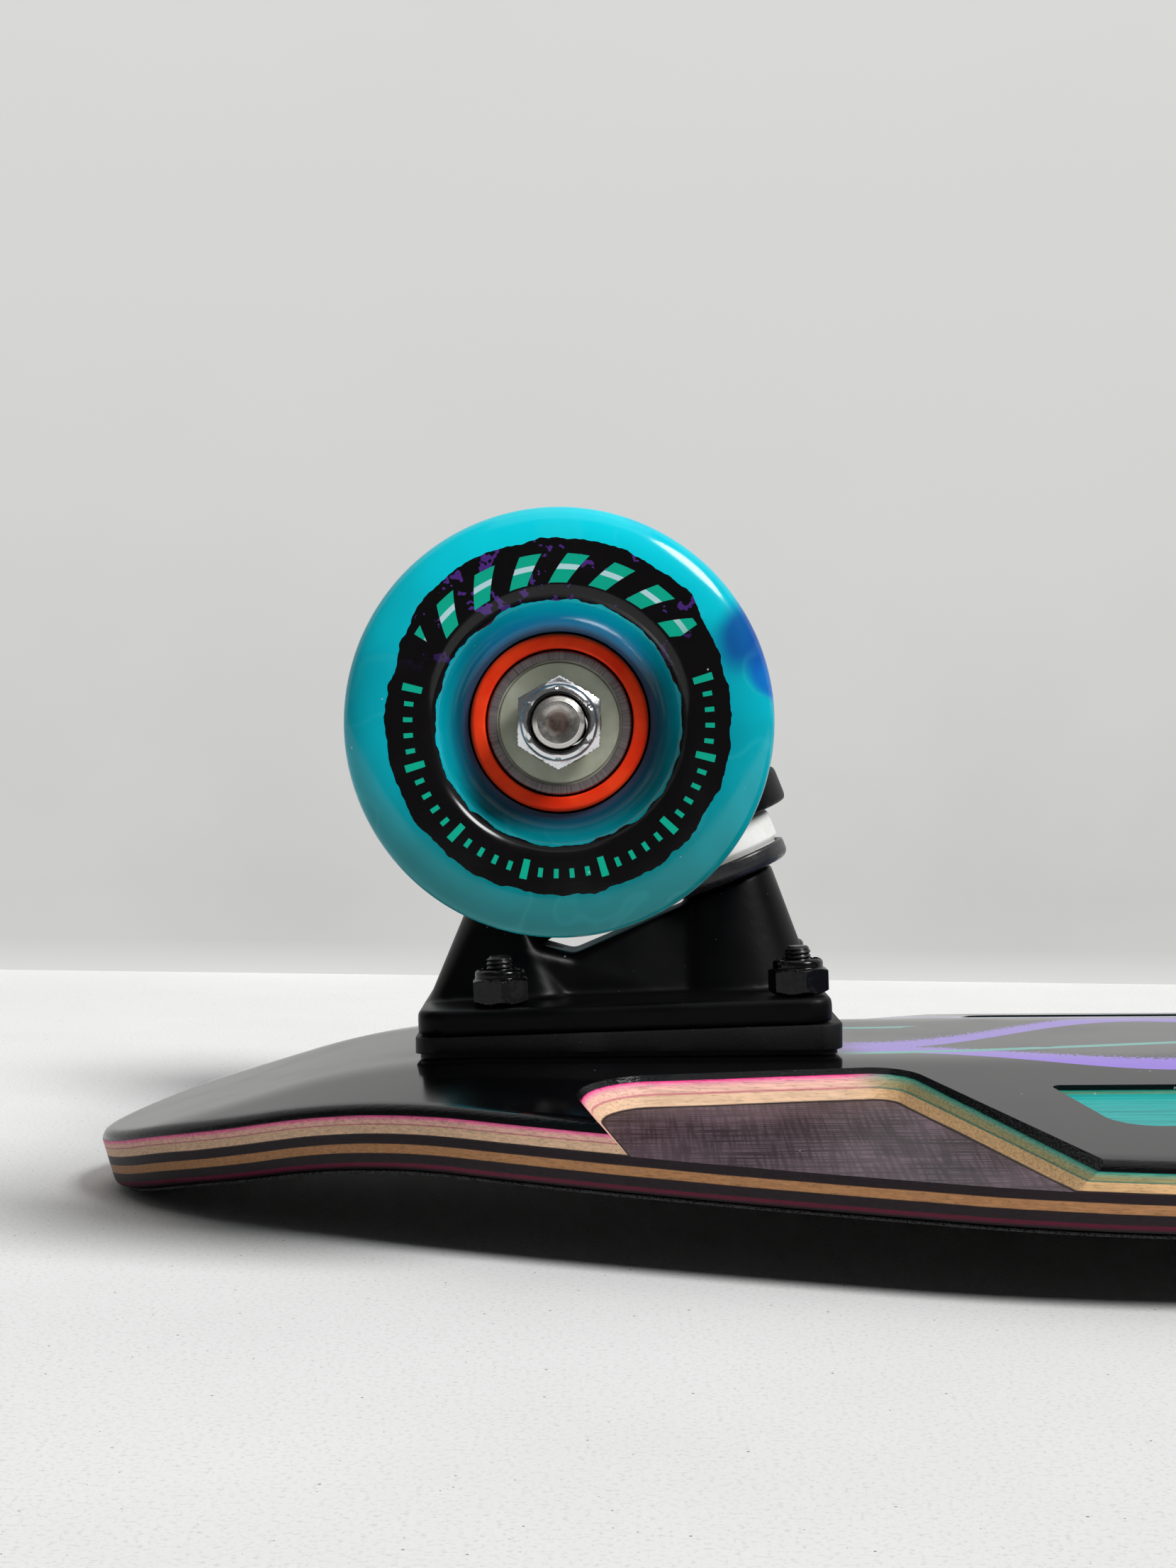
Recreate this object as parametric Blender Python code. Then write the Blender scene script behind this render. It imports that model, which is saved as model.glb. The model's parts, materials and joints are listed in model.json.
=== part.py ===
"""Cruiser skateboard, lying on its grip side with the wheels up.

The board is built in its own frame (board frame): x along the board with the nose at -x, y across,
z = 0 on the flat of the face that the trucks are bolted to, wheels towards +z. Each truck is built in a
truck frame of its own: s towards the middle of the board, y across, h away from the deck, with its origin
on the baseplate's underside, straight under the axle. At the end the whole board is laid on a level floor,
where it rests on its nose and its tail.
"""

import bpy
import bmesh
from math import atan2, cos, pi, radians, sin, sqrt, tan
from mathutils import Matrix, Vector

# Deck outline and laminate, in metres
WHEELBASE = 0.387  # inner bolts of the front truck to inner bolts of the rear truck
NOSE_LENGTH = 0.0785  # outer bolts to nose tip, along the face
TAIL_LENGTH = 0.1246  # outer bolts to tail tip, along the face
WAIST_HALF_WIDTH = 0.1060  # widest half width, just behind the front truck
TAIL_HALF_WIDTH = 0.0860  # half width that the straight sides taper to at the tail tip
NOSE_TIP_RADIUS = 0.0292
TAIL_TIP_RADIUS = 0.0980
OUTLINE_BLEND = 0.010  # how softly the nose and tail curves run into the straight sides
DECK_THICKNESS = 0.0110
PLY_COUNT = 7
EDGE_ROUND = 0.0020  # rounding of the deck's long edges
GRIP_THICKNESS = 0.0006
FIT_GAP = 0.0003  # clearance between pieces that touch

# Deck bend and concave
KICK_START = 0.0040  # outer bolts to the start of either kick
KICK_RADIUS = 0.127
KICK_ANGLE = radians(16.4)
FLAT_HALF_WIDTH = 0.0250
CONCAVE_BLEND = 0.010
CONCAVE_ANGLE = radians(5.6)
BEND_STEPS = 5
BLEND_STEPS = 2

# Wheel wells, measured from the point under the axle; inner side first
WELL_PLIES = 3
WELL_CORNERS = ((-0.0023, 0.0434), (0.0575, 0.0360))
WELL_MOUTH = ((0.0848, 0.1110), (0.0117, 0.1110))
WELL_CORNER_RADII = (0.014, 0.009)
WELL_WALL_SLOPE = 0.0042  # how far a well's wall runs in between the face and the floor

# Side windows, routed through the face ply alone
WINDOW_PLIES = 1
WINDOW_CORNERS = ((0.0804, 0.0506), (0.0868, 0.0780))
WINDOW_CORNER_RADII = (0.0015, 0.008)

# Riser pads
RISER_LENGTH = 0.0768
RISER_HALF_WIDTH = 0.0275
RISER_OUTER_END = 0.0286  # outer end of the pad from the point under the axle
RISER_OUTER_HEIGHT = 0.0037
RISER_INNER_HEIGHT = 0.00585
RISER_FOOT = 0.0009  # height of the inset foot, and how far it is set in
PAD_CORNER_RADIUS = 0.004

# Mounting bolts
BOLT_SPACING_LONG = 0.05398
BOLT_SPACING_WIDE = 0.0413
BOLT_TO_AXLE = 0.0132  # outer bolts from the point under the axle
BOLT_RADIUS = 0.0024
BOLT_HEAD_RADIUS = 0.0046
BOLT_HEAD_HEIGHT = 0.0026
BOLT_PROUD = 0.0023
MOUNT_NUT_FLATS = 0.0098
MOUNT_NUT_HEIGHT = 0.0048
MOUNT_NUT_COLLAR = 0.0015
NUT_ROOM = 0.0006  # round a mounting nut's corners
NUT_CHAMFER = 0.0007
NUT_CROWN = 0.90  # radius of a nut's top circle against half its width over the flats
NUT_COLLAR_TAPER = 0.76  # the same for the end of its nylon collar
ROD_CHAMFER = 0.0006  # on the ends of bolts, kingpins and axles

# Truck
AXLE_HEIGHT = 0.0548
PLATE_OUTER = 0.0281
PLATE_INNER = 0.0465
PLATE_HALF_WIDTH = 0.0275
PLATE_THICKNESS = 0.0045
CAST_EDGE = 0.0008  # rounding of cast edges
KINGPIN_LEAN = radians(20.1)
KINGPIN_FOOT = 0.0385  # where the kingpin's axis meets the baseplate's underside
PIVOT_ANGLE = radians(30.0)
BOSS_HEIGHT = 0.0260  # along the kingpin from the baseplate's underside
BOSS_RADIUS = 0.0088
BOSS_SKIRT_RADIUS = 0.0130
BOSS_SKIRT_SHIFT = 0.0075  # how far the skirt's middle lies outwards of the kingpin's foot
BOSS_SKIRT_STRETCH = 1.15
HOUSING_RADIUS = 0.0095
HOUSING_MOUTH = 0.0390  # along the pivot axis from the ring's centre
HOUSING_FLARE = 0.0040  # how much wider the housing's foot is, to each side
HOUSING_SETBACK = 0.0012  # from the plate's outer end to the housing's foot
HOUSING_FOOT_END = 0.0010
RIB_HALF_WIDTH = 0.0095
RIB_HEIGHT = 0.0150  # at the housing's mouth
NOTCH_HEIGHT = 0.0122
NOTCH_X = 0.0003  # from the point under the axle to the bottom of the notch
WEB_REACH = 0.0075  # from the kingpin's axis to the crest of the web on the boss
WEB_CREST_HALF_WIDTH = 0.0050
RING_CENTRE = 0.0397  # along the kingpin
RING_RADIUS = 0.0162
RING_THICKNESS = 0.0069
RING_BORE = 0.0082
KINGPIN_RADIUS = 0.00476
KINGPIN_HEAD_FLATS = 0.0143
KINGPIN_HEAD_HEIGHT = 0.0058
KINGPIN_PROUD = 0.0010
NUT_COLLAR_HEIGHT = 0.0018
KINGPIN_NUT_HEIGHT = 0.0070
BUSHING_RADIUS = 0.0120
BUSHING_SEAT_RADIUS = 0.0112
BUSHING_TOP_RADIUS = 0.0086
ROADSIDE_BUSHING_HEIGHT = 0.0098
WASHER_THICKNESS = 0.0015
WASHER_RIM = 0.0036  # height of the boardside washer's rim
WASHER_WALL = 0.0012
WASHER_DRAFT = 0.0008
BUSHING_FLARE = 0.0010  # height over which the boardside bushing widens above its washer
BUSHING_BAND = 0.0020  # height of the roadside bushing's straight band
PIVOT_PIN_RADIUS = 0.0052
PIVOT_PIN_END = 0.0450  # along the pivot axis from the ring's centre
PIN_ROOT_RADIUS = 0.0076
PIN_ROOT = 0.0200
PIN_NECK_RADIUS = 0.0070
PIN_NECK = 0.0270
PIN_LEAD = 0.0030  # straight length of the pin outside its housing
PIVOT_CUP_WALL = 0.0022
HANGER_HALF_LENGTH = 0.0667
HANGER_END_RADIUS = 0.0084
HANGER_MIDDLE_RADIUS = 0.0115
YOKE_HALF_WIDTH = 0.0300  # half the length of the hanger's thick middle
YOKE_REACH = 0.0420  # how far along the arms the yoke spreads
YOKE_INSET = 0.0005  # how far the yoke keeps inside the ring's faces
SADDLE_RADIUS = 0.0105
SADDLE_HALF_WIDTH = 0.0120
SADDLE_START = 0.0120  # along the pivot axis
SADDLE_END = 0.0240
SADDLE_END_RADIUS = 0.0086
BULGE_ROOM = 0.0022  # room round the boardside bushing, in which it can bulge
STACK_ROOM = 0.0008  # room round the roadside bushing, washer and nut with the truck straight
LEAN_LIMIT = radians(18.0)  # how far the hanger leans about its pivot axis
SPOT_FACE = 0.0002  # depth of the machined seats on the ring's faces

# Axle, bearings and wheels
AXLE_RADIUS = 0.00397
AXLE_PROUD = 0.0040  # how far the axle stands out of its nuts
BEARING_RADIUS = 0.0110
BEARING_WIDTH = 0.0070
BEARING_SPACING = 0.0240  # over the outer faces of a wheel's two bearings
BEARING_RECESS = 0.0005  # depth of the shield below the outer race
RACE_WIDTH = 0.0014
WASHER_GAP = 0.0010  # room that a speed washer takes at each end of a wheel
WHEEL_RADIUS = 0.0325
TREAD_HALF_WIDTH = 0.0155
WHEEL_HALF_WIDTH = 0.0190
SIDE_OUTER_RADIUS = 0.0262
SIDE_INNER_RADIUS = 0.0186
CORE_RADIUS = 0.01355
CORE_HALF_WIDTH = 0.0128
CORE_SHOULDER = 0.0094  # radius of the rib that keeps the bearings apart
RECESS_STEP = 0.0012  # how far the tyre's dished recess lies below the core's end
RECESS_DRAFT = 0.0018  # how far the recess's wall leans outwards
SHOULDER_DROP = 0.0016  # rounding of the tyre's shoulder, on the radius
SHOULDER_REACH = 0.0019  # and along the axle
AXLE_NUT_FLATS = 0.0124
AXLE_NUT_HEIGHT = 0.0055
AXLE_NUT_COLLAR = 0.0018

# Facets
NOSE_STEPS = 13
TAIL_STEPS = 9
CORNER_STEPS = 4
ROUND_STEPS = 16
AXLE_STEPS = 16
TYRE_STEPS = 24
SMALL_STEPS = 8
CAST_STEPS = 12
NUT_STEPS = 12
MERGE = 0.000002  # points closer than this after a cut are one point
ON_SLICE = 0.000001  # points closer than this to a slice lie on it
COPLANAR = radians(0.05)
MITRE_LIMIT = 0.3
PAST = 0.010  # how far a cutter runs past what it cuts

PLY = DECK_THICKNESS / PLY_COUNT
TRUCK_X = WHEELBASE / 2 + BOLT_SPACING_LONG - BOLT_TO_AXLE
KICK_X = WHEELBASE / 2 + BOLT_SPACING_LONG + KICK_START
NOSE_S = -(WHEELBASE / 2 + BOLT_SPACING_LONG + NOSE_LENGTH)
TAIL_S = WHEELBASE / 2 + BOLT_SPACING_LONG + TAIL_LENGTH
WEDGE_ANGLE = atan2(RISER_INNER_HEIGHT - RISER_OUTER_HEIGHT, RISER_LENGTH)
GRIP_BOTTOM = DECK_THICKNESS + FIT_GAP + GRIP_THICKNESS
WHEEL_Y = HANGER_HALF_LENGTH + WASHER_GAP + BEARING_SPACING / 2
AXLE_NUT_Y = WHEEL_Y + BEARING_SPACING / 2 + WASHER_GAP
AXLE_HALF_LENGTH = AXLE_NUT_Y + AXLE_NUT_HEIGHT + AXLE_NUT_COLLAR + AXLE_PROUD

for old in list(bpy.data.objects):
    bpy.data.objects.remove(old, do_unlink=True)

board = bpy.data.objects.new("board", None)
bpy.context.scene.collection.objects.link(board)


def material(name, colour, roughness, metallic=0.0):
    """A plain Principled material of one colour."""
    made = bpy.data.materials.new(name)
    made.use_nodes = True
    shader = made.node_tree.nodes["Principled BSDF"]
    shader.inputs["Base Color"].default_value = (*colour, 1.0)
    shader.inputs["Roughness"].default_value = roughness
    shader.inputs["Metallic"].default_value = metallic
    return made


def add_object(name, bm, finish, place=Matrix.Identity(4)):
    """Turns a bmesh in the board's or a truck's frame into a named object on the board."""
    face_outwards(bm)
    mesh = bpy.data.meshes.new(name)
    bm.to_mesh(mesh)
    bm.free()
    mesh.materials.append(finish)
    mesh.shade_smooth()
    mesh.set_sharp_from_angle(angle=radians(30.0))
    made = bpy.data.objects.new(name, mesh)
    bpy.context.scene.collection.objects.link(made)
    made.parent = board
    made.matrix_basis = place
    return made


def face_outwards(bm):
    """Turns a closed bmesh's faces outwards if they all point inwards."""
    if bm.calc_volume(signed=True) < 0:
        bmesh.ops.reverse_faces(bm, faces=bm.faces)


def ring_of_faces(bm, loops, closed):
    """Joins loops of equally many vertices with quads, and the last loop with the first if closed."""
    pairs = list(zip(loops, loops[1:]))
    if closed:
        pairs.append((loops[-1], loops[0]))
    for low, high in pairs:
        for i in range(len(low)):
            j = (i + 1) % len(low)
            bm.faces.new((low[i], low[j], high[j], high[i]))


def loft(point_loops):
    """A solid through a stack of point loops, closed by a face at each end."""
    bm = bmesh.new()
    loops = [[bm.verts.new(point) for point in loop] for loop in point_loops]
    ring_of_faces(bm, loops, closed=False)
    bm.faces.new(list(reversed(loops[0])))
    bm.faces.new(loops[-1])
    return bm


def pierced(point_loops):
    """A solid with a hole through it: loops run up the outside and down the inside."""
    bm = bmesh.new()
    loops = [[bm.verts.new(point) for point in loop] for loop in point_loops]
    ring_of_faces(bm, loops, closed=True)
    return bm


def circle(radius, height, steps):
    """Points of a level circle."""
    turns = [2 * pi * i / steps for i in range(steps)]
    return [Vector((radius * cos(turn), radius * sin(turn), height)) for turn in turns]


def turned(profile, steps=ROUND_STEPS, hollow=False):
    """A solid of revolution about z through (radius, height) pairs, closed by end faces or by a bore."""
    loops = [circle(radius, height, steps) for radius, height in profile]
    return pierced(loops) if hollow else loft(loops)


def corner_radius(flats):
    """A hexagon's radius over its corners, from its width over the flats."""
    return flats / 2 / cos(pi / 6)


def hexagon(flats, height, trim=0.0):
    """Points on a hexagon: the middles of its flats and its corners, which are cut back by trim."""
    points = []
    for i in range(NUT_STEPS):
        reach = corner_radius(flats) - trim if i % 2 == 0 else flats / 2
        turn = 2 * pi * i / NUT_STEPS
        points.append(Vector((reach * cos(turn), reach * sin(turn), height)))
    return points


def lock_nut(flats, height, collar, bore):
    """A hexagon nut with a chamfered top and the round collar of its nylon insert."""
    return pierced([
        hexagon(flats, 0.0),
        hexagon(flats, height - NUT_CHAMFER),
        circle(flats / 2 * NUT_CROWN, height, NUT_STEPS),
        circle(flats / 2 * NUT_COLLAR_TAPER, height + collar, NUT_STEPS),
        circle(bore, height + collar, NUT_STEPS),
        circle(bore, 0.0, NUT_STEPS),
    ])


def moved(bm, matrix):
    """The same bmesh, carried by a matrix."""
    bmesh.ops.transform(bm, matrix=matrix, verts=bm.verts)
    return bm


def hull(points):
    """The convex solid round a set of points."""
    bm = bmesh.new()
    for point in points:
        bm.verts.new(point)
    found = bmesh.ops.convex_hull(bm, input=bm.verts)
    spare = set(found["geom_interior"]) | set(found["geom_unused"])
    bmesh.ops.delete(bm, geom=[v for v in spare if isinstance(v, bmesh.types.BMVert)], context="VERTS")
    return bm


def combined(base, others, operation):
    """The Boolean result of one bmesh with others, as a new bmesh."""
    holder = bpy.data.objects.new("work", bpy.data.meshes.new("work"))
    face_outwards(base)
    base.to_mesh(holder.data)
    base.free()
    bpy.context.scene.collection.objects.link(holder)
    tools = []
    for other in others:
        tool = bpy.data.objects.new("tool", bpy.data.meshes.new("tool"))
        face_outwards(other)
        other.to_mesh(tool.data)
        other.free()
        bpy.context.scene.collection.objects.link(tool)
        modifier = holder.modifiers.new("join", "BOOLEAN")
        modifier.operation = operation
        modifier.solver = "EXACT"
        modifier.object = tool
        tools.append(tool)
    bpy.context.view_layer.update()
    result = bmesh.new()
    result.from_object(holder, bpy.context.evaluated_depsgraph_get())
    for used in [holder, *tools]:
        bpy.data.objects.remove(used, do_unlink=True)
    bmesh.ops.remove_doubles(result, verts=result.verts, dist=MERGE)
    bmesh.ops.dissolve_degenerate(result, edges=result.edges, dist=MERGE)
    return result


def smooth_min(a, b, blend):
    """The smaller of two lengths, with the change from one to the other rounded over a blend."""
    overlap = max(blend - abs(a - b), 0.0) / blend
    return min(a, b) - overlap * overlap * blend / 4


def half_width(s):
    """Half the deck's width at s along its face: a parabola at each tip and straight sides between."""
    nose = sqrt(max(2 * NOSE_TIP_RADIUS * (s - NOSE_S), 0.0))
    tail = sqrt(max(2 * TAIL_TIP_RADIUS * (TAIL_S - s), 0.0))
    along = (s + TRUCK_X) / (TAIL_S + TRUCK_X)
    sides = WAIST_HALF_WIDTH + (TAIL_HALF_WIDTH - WAIST_HALF_WIDTH) * along
    return smooth_min(smooth_min(nose, sides, OUTLINE_BLEND), tail, OUTLINE_BLEND)


def outline_half():
    """Stations from nose to tail on the +y side, closer together where the outline turns."""
    nose_reach = WAIST_HALF_WIDTH**2 / 2 / NOSE_TIP_RADIUS + OUTLINE_BLEND * 2
    tail_reach = TAIL_HALF_WIDTH**2 / 2 / TAIL_TIP_RADIUS + OUTLINE_BLEND * 2
    stations = [NOSE_S + nose_reach * (i / NOSE_STEPS) ** 2 for i in range(NOSE_STEPS + 1)]
    stations += [TAIL_S - tail_reach * (i / TAIL_STEPS) ** 2 for i in range(TAIL_STEPS, -1, -1)]
    return [Vector((s, half_width(s), 0.0)) for s in stations]


def deck_outline(inset, depth):
    """The deck's outline in the flat, drawn in by an inset, at a depth below the face."""
    half = outline_half()
    points = half + [Vector((p.x, -p.y, 0.0)) for p in reversed(half[1:-1])]
    drawn = []
    for i, point in enumerate(points):
        along = (points[(i + 1) % len(points)] - points[i - 1]).normalized()
        inward = Vector((along.y, -along.x, 0.0))
        drawn.append(Vector((point.x, point.y, -depth)) + inward * inset)
    return drawn


def rounded_polygon(corners, radii):
    """A polygon whose corners are arcs of the given radii; a radius of 0 keeps the corner."""
    points = []
    for i, corner in enumerate(corners):
        if radii[i] == 0:
            points.append(corner.copy())
            continue
        back = (corners[i - 1] - corner).normalized()
        ahead = (corners[(i + 1) % len(corners)] - corner).normalized()
        bisector = (back + ahead).normalized()
        half = back.angle(ahead) / 2
        centre = corner + bisector * (radii[i] / sin(half))
        first = corner + back * (radii[i] / tan(half))
        last = corner + ahead * (radii[i] / tan(half))
        for k in range(CORNER_STEPS + 1):
            spoke = (first - centre).slerp(last - centre, k / CORNER_STEPS)
            points.append(centre + spoke.normalized() * radii[i])
    return points


def rounded_rectangle(outer, inner, half_wide, radius):
    """A rectangle with rounded corners between two places along x, centred on y = 0."""
    corners = ((outer, -half_wide), (inner, -half_wide), (inner, half_wide), (outer, half_wide))
    return rounded_polygon([Vector((x, y, 0.0)) for x, y in corners], [radius] * 4)


def grown(points, amount):
    """A plane polygon, run anticlockwise, with each side moved outwards by an amount."""
    result = []
    for i, point in enumerate(points):
        before = (point - points[i - 1]).normalized()
        after = (points[(i + 1) % len(points)] - point).normalized()
        out_before = Vector((before.y, -before.x, 0.0))
        out_after = Vector((after.y, -after.x, 0.0))
        joint = (out_before + out_after).normalized()
        result.append(point + joint * (amount / max(joint.dot(out_after), MITRE_LIMIT)))
    return result


def routed(corners, radii, depth, slope):
    """A cutter for a pocket of one depth below the face, whose walls lean outwards towards the face."""
    shape = rounded_polygon([Vector((x, y, 0.0)) for x, y in corners], radii)
    area = sum(a.x * b.y - b.x * a.y for a, b in zip(shape, shape[1:] + shape[:1]))
    if area < 0:
        shape.reverse()
    floor = [Vector((p.x, p.y, -depth)) for p in grown(shape, -slope)]
    top = [Vector((p.x, p.y, depth)) for p in grown(shape, slope)]
    return loft([floor, top])


def bent(point):
    """Carries a point of the flat blank to the pressed deck: kicks along the board, concave across it."""
    side = 1.0 if point.x > 0 else -1.0
    past = abs(point.x) - KICK_X
    across = abs(point.y) - FLAT_HALF_WIDTH
    depth = -point.z
    if across > CONCAVE_BLEND:
        depth += tan(CONCAVE_ANGLE) * (across - CONCAVE_BLEND / 2)
    elif across > 0:
        depth += tan(CONCAVE_ANGLE) * across * across / 2 / CONCAVE_BLEND
    if past <= 0:
        return Vector((point.x, point.y, -depth))
    angle = min(past / KICK_RADIUS, KICK_ANGLE)
    straight = past - angle * KICK_RADIUS
    x = KICK_X + KICK_RADIUS * sin(angle) + straight * cos(angle) - depth * sin(angle)
    z = -KICK_RADIUS * (1 - cos(angle)) - straight * sin(angle) - depth * cos(angle)
    return Vector((side * x, point.y, z))


def sliced(bm):
    """Slices a flat blank along every line where the mould bends it."""
    kicks = [KICK_X + KICK_RADIUS * KICK_ANGLE * step / BEND_STEPS for step in range(BEND_STEPS + 1)]
    blends = [FLAT_HALF_WIDTH + CONCAVE_BLEND * step / BLEND_STEPS for step in range(BLEND_STEPS + 1)]
    slices = [(reach, Vector((1, 0, 0))) for reach in kicks]
    slices += [(reach, Vector((0, 1, 0))) for reach in blends]
    for reach, normal in slices:
        for side in (1, -1):
            geometry = bm.verts[:] + bm.edges[:] + bm.faces[:]
            point = normal * reach * side
            bmesh.ops.bisect_plane(bm, geom=geometry, dist=ON_SLICE, plane_co=point, plane_no=normal)


def press(bm):
    """Presses a flat blank into the deck's mould, with slices where the surface curves."""
    bmesh.ops.triangulate(bm, faces=bm.faces)
    sliced(bm)
    bmesh.ops.dissolve_limit(bm, angle_limit=COPLANAR, verts=bm.verts, edges=bm.edges)
    sliced(bm)
    bmesh.ops.triangulate(bm, faces=bm.faces)
    for vert in bm.verts:
        vert.co = bent(vert.co)
    return bm


def truck_frame(end):
    """The matrix from a truck's frame to the board's: end is -1 at the nose and +1 at the tail."""
    turn = Matrix.Rotation(0.0 if end < 0 else pi, 4, "Z")
    seat = RISER_OUTER_HEIGHT + RISER_OUTER_END * tan(WEDGE_ANGLE) + FIT_GAP
    spot = Matrix.Translation((end * TRUCK_X, 0.0, seat))
    return spot @ turn @ Matrix.Rotation(-WEDGE_ANGLE, 4, "Y")


def along_kingpin(t):
    """Matrix of a frame on the kingpin's axis, its z up the kingpin, t above the baseplate's underside."""
    lean = Matrix.Rotation(-KINGPIN_LEAN, 4, "Y")
    return Matrix.Translation((KINGPIN_FOOT, 0, 0)) @ lean @ Matrix.Translation((0, 0, t))


def along_pivot(u):
    """Matrix of a frame on the pivot axis, its z down towards the cup, u from the ring's centre."""
    centre = along_kingpin(RING_CENTRE).translation
    turn = Matrix.Rotation(-pi / 2 - PIVOT_ANGLE, 4, "Y")
    return Matrix.Translation(centre) @ turn @ Matrix.Translation((0, 0, u))


def on_axle(y):
    """Matrix of a frame on the axle, its z outwards along +y or -y, |y| from the middle."""
    side = 1.0 if y > 0 else -1.0
    turn = Matrix.Rotation(-side * pi / 2, 4, "X")
    return Matrix.Translation((0, y, AXLE_HEIGHT)) @ turn


def along_axle():
    """Matrix of a frame on the axle's middle, its z along the axle."""
    return Matrix.Translation((0, 0, AXLE_HEIGHT)) @ Matrix.Rotation(pi / 2, 4, "X")


def bolt_places():
    """The four bolts of one truck in its own frame."""
    longs = (-BOLT_TO_AXLE, BOLT_SPACING_LONG - BOLT_TO_AXLE)
    wides = (-BOLT_SPACING_WIDE / 2, BOLT_SPACING_WIDE / 2)
    return [(s, y) for s in longs for y in wides]


def bolt_depth(s):
    """From the baseplate's underside down to the grip surface along a bolt."""
    height = truck_frame(-1) @ Vector((s, 0.0, 0.0))
    return (height.z + GRIP_BOTTOM) / cos(WEDGE_ANGLE)


def bolt_holes(end, clearance):
    """Cutters for one truck's bolts through deck, riser and grip, in the board's frame."""
    holes = []
    for s, y in bolt_places():
        depth = bolt_depth(s)
        profile = [
            (BOLT_HEAD_RADIUS + clearance, -depth - PAST),
            (BOLT_HEAD_RADIUS + clearance, -depth),
            (BOLT_RADIUS + clearance, -depth + BOLT_HEAD_HEIGHT + clearance),
            (BOLT_RADIUS + clearance, PLATE_THICKNESS),
        ]
        hole = turned(profile, SMALL_STEPS)
        holes.append(moved(hole, truck_frame(end) @ Matrix.Translation((s, y, 0))))
    return holes


def pockets():
    """Cutters for the four wheel wells and the two side windows in the flat blank."""
    cutters = []
    for side in (-1, 1):
        for end in (-1, 1):
            corners = [(end * (TRUCK_X - x), side * y) for x, y in (*WELL_CORNERS, *WELL_MOUTH)]
            radii = (*WELL_CORNER_RADII, 0.0, 0.0)
            cutters.append(routed(corners, radii, WELL_PLIES * PLY, WELL_WALL_SLOPE))
        near, far = [[(end * (TRUCK_X - x), side * y) for x, y in WINDOW_CORNERS] for end in (-1, 1)]
        corners = [near[0], near[1], far[1], far[0]]
        radii = WINDOW_CORNER_RADII + WINDOW_CORNER_RADII[::-1]
        cutters.append(routed(corners, radii, WINDOW_PLIES * PLY, 0.0))
    return cutters


def build_deck():
    """The pressed seven-ply deck with its wells, windows and bolt holes, and the grip tape under it."""
    soft = EDGE_ROUND * (1 - cos(pi / 4))
    face_edge = [(EDGE_ROUND, 0.0), (soft, soft), (0.0, EDGE_ROUND)]
    levels = face_edge + [(inset, DECK_THICKNESS - depth) for inset, depth in reversed(face_edge)]
    blank = loft([deck_outline(inset, depth) for inset, depth in levels])
    blank = combined(blank, pockets() + bolt_holes(-1, FIT_GAP) + bolt_holes(1, FIT_GAP), "DIFFERENCE")
    add_object("deck", press(blank), material("deck_face", (0.022, 0.022, 0.026), 0.25))

    top = DECK_THICKNESS + FIT_GAP
    sheet = loft([deck_outline(EDGE_ROUND, top), deck_outline(EDGE_ROUND, top + GRIP_THICKNESS)])
    sheet = combined(sheet, bolt_holes(-1, FIT_GAP) + bolt_holes(1, FIT_GAP), "DIFFERENCE")
    add_object("grip_tape", press(sheet), material("grip", (0.015, 0.016, 0.018), 0.9))


def build_riser(name, end, finish):
    """A rubber wedge pad with an inset foot, thicker towards the middle of the board."""

    def pad(inset, height_at):
        outer = -RISER_OUTER_END + inset
        inner = RISER_LENGTH - RISER_OUTER_END - inset
        wide = RISER_HALF_WIDTH - inset
        points = rounded_rectangle(outer, inner, wide, PAD_CORNER_RADIUS - inset)
        return [Vector((p.x, p.y, height_at(p.x))) for p in points]

    def slope(x):
        return RISER_OUTER_HEIGHT + (x + RISER_OUTER_END) * tan(WEDGE_ANGLE)

    loops = [
        pad(RISER_FOOT, lambda x: FIT_GAP),
        pad(RISER_FOOT, lambda x: RISER_FOOT),
        pad(0.0, lambda x: RISER_FOOT + FIT_GAP),
        pad(0.0, slope),
    ]
    turn = Matrix.Rotation(0.0 if end < 0 else pi, 4, "Z")
    body = moved(loft(loops), Matrix.Translation((end * TRUCK_X, 0, 0)) @ turn)
    body = combined(body, bolt_holes(end, FIT_GAP), "DIFFERENCE")
    add_object(name + "_riser", body, finish)


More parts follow.
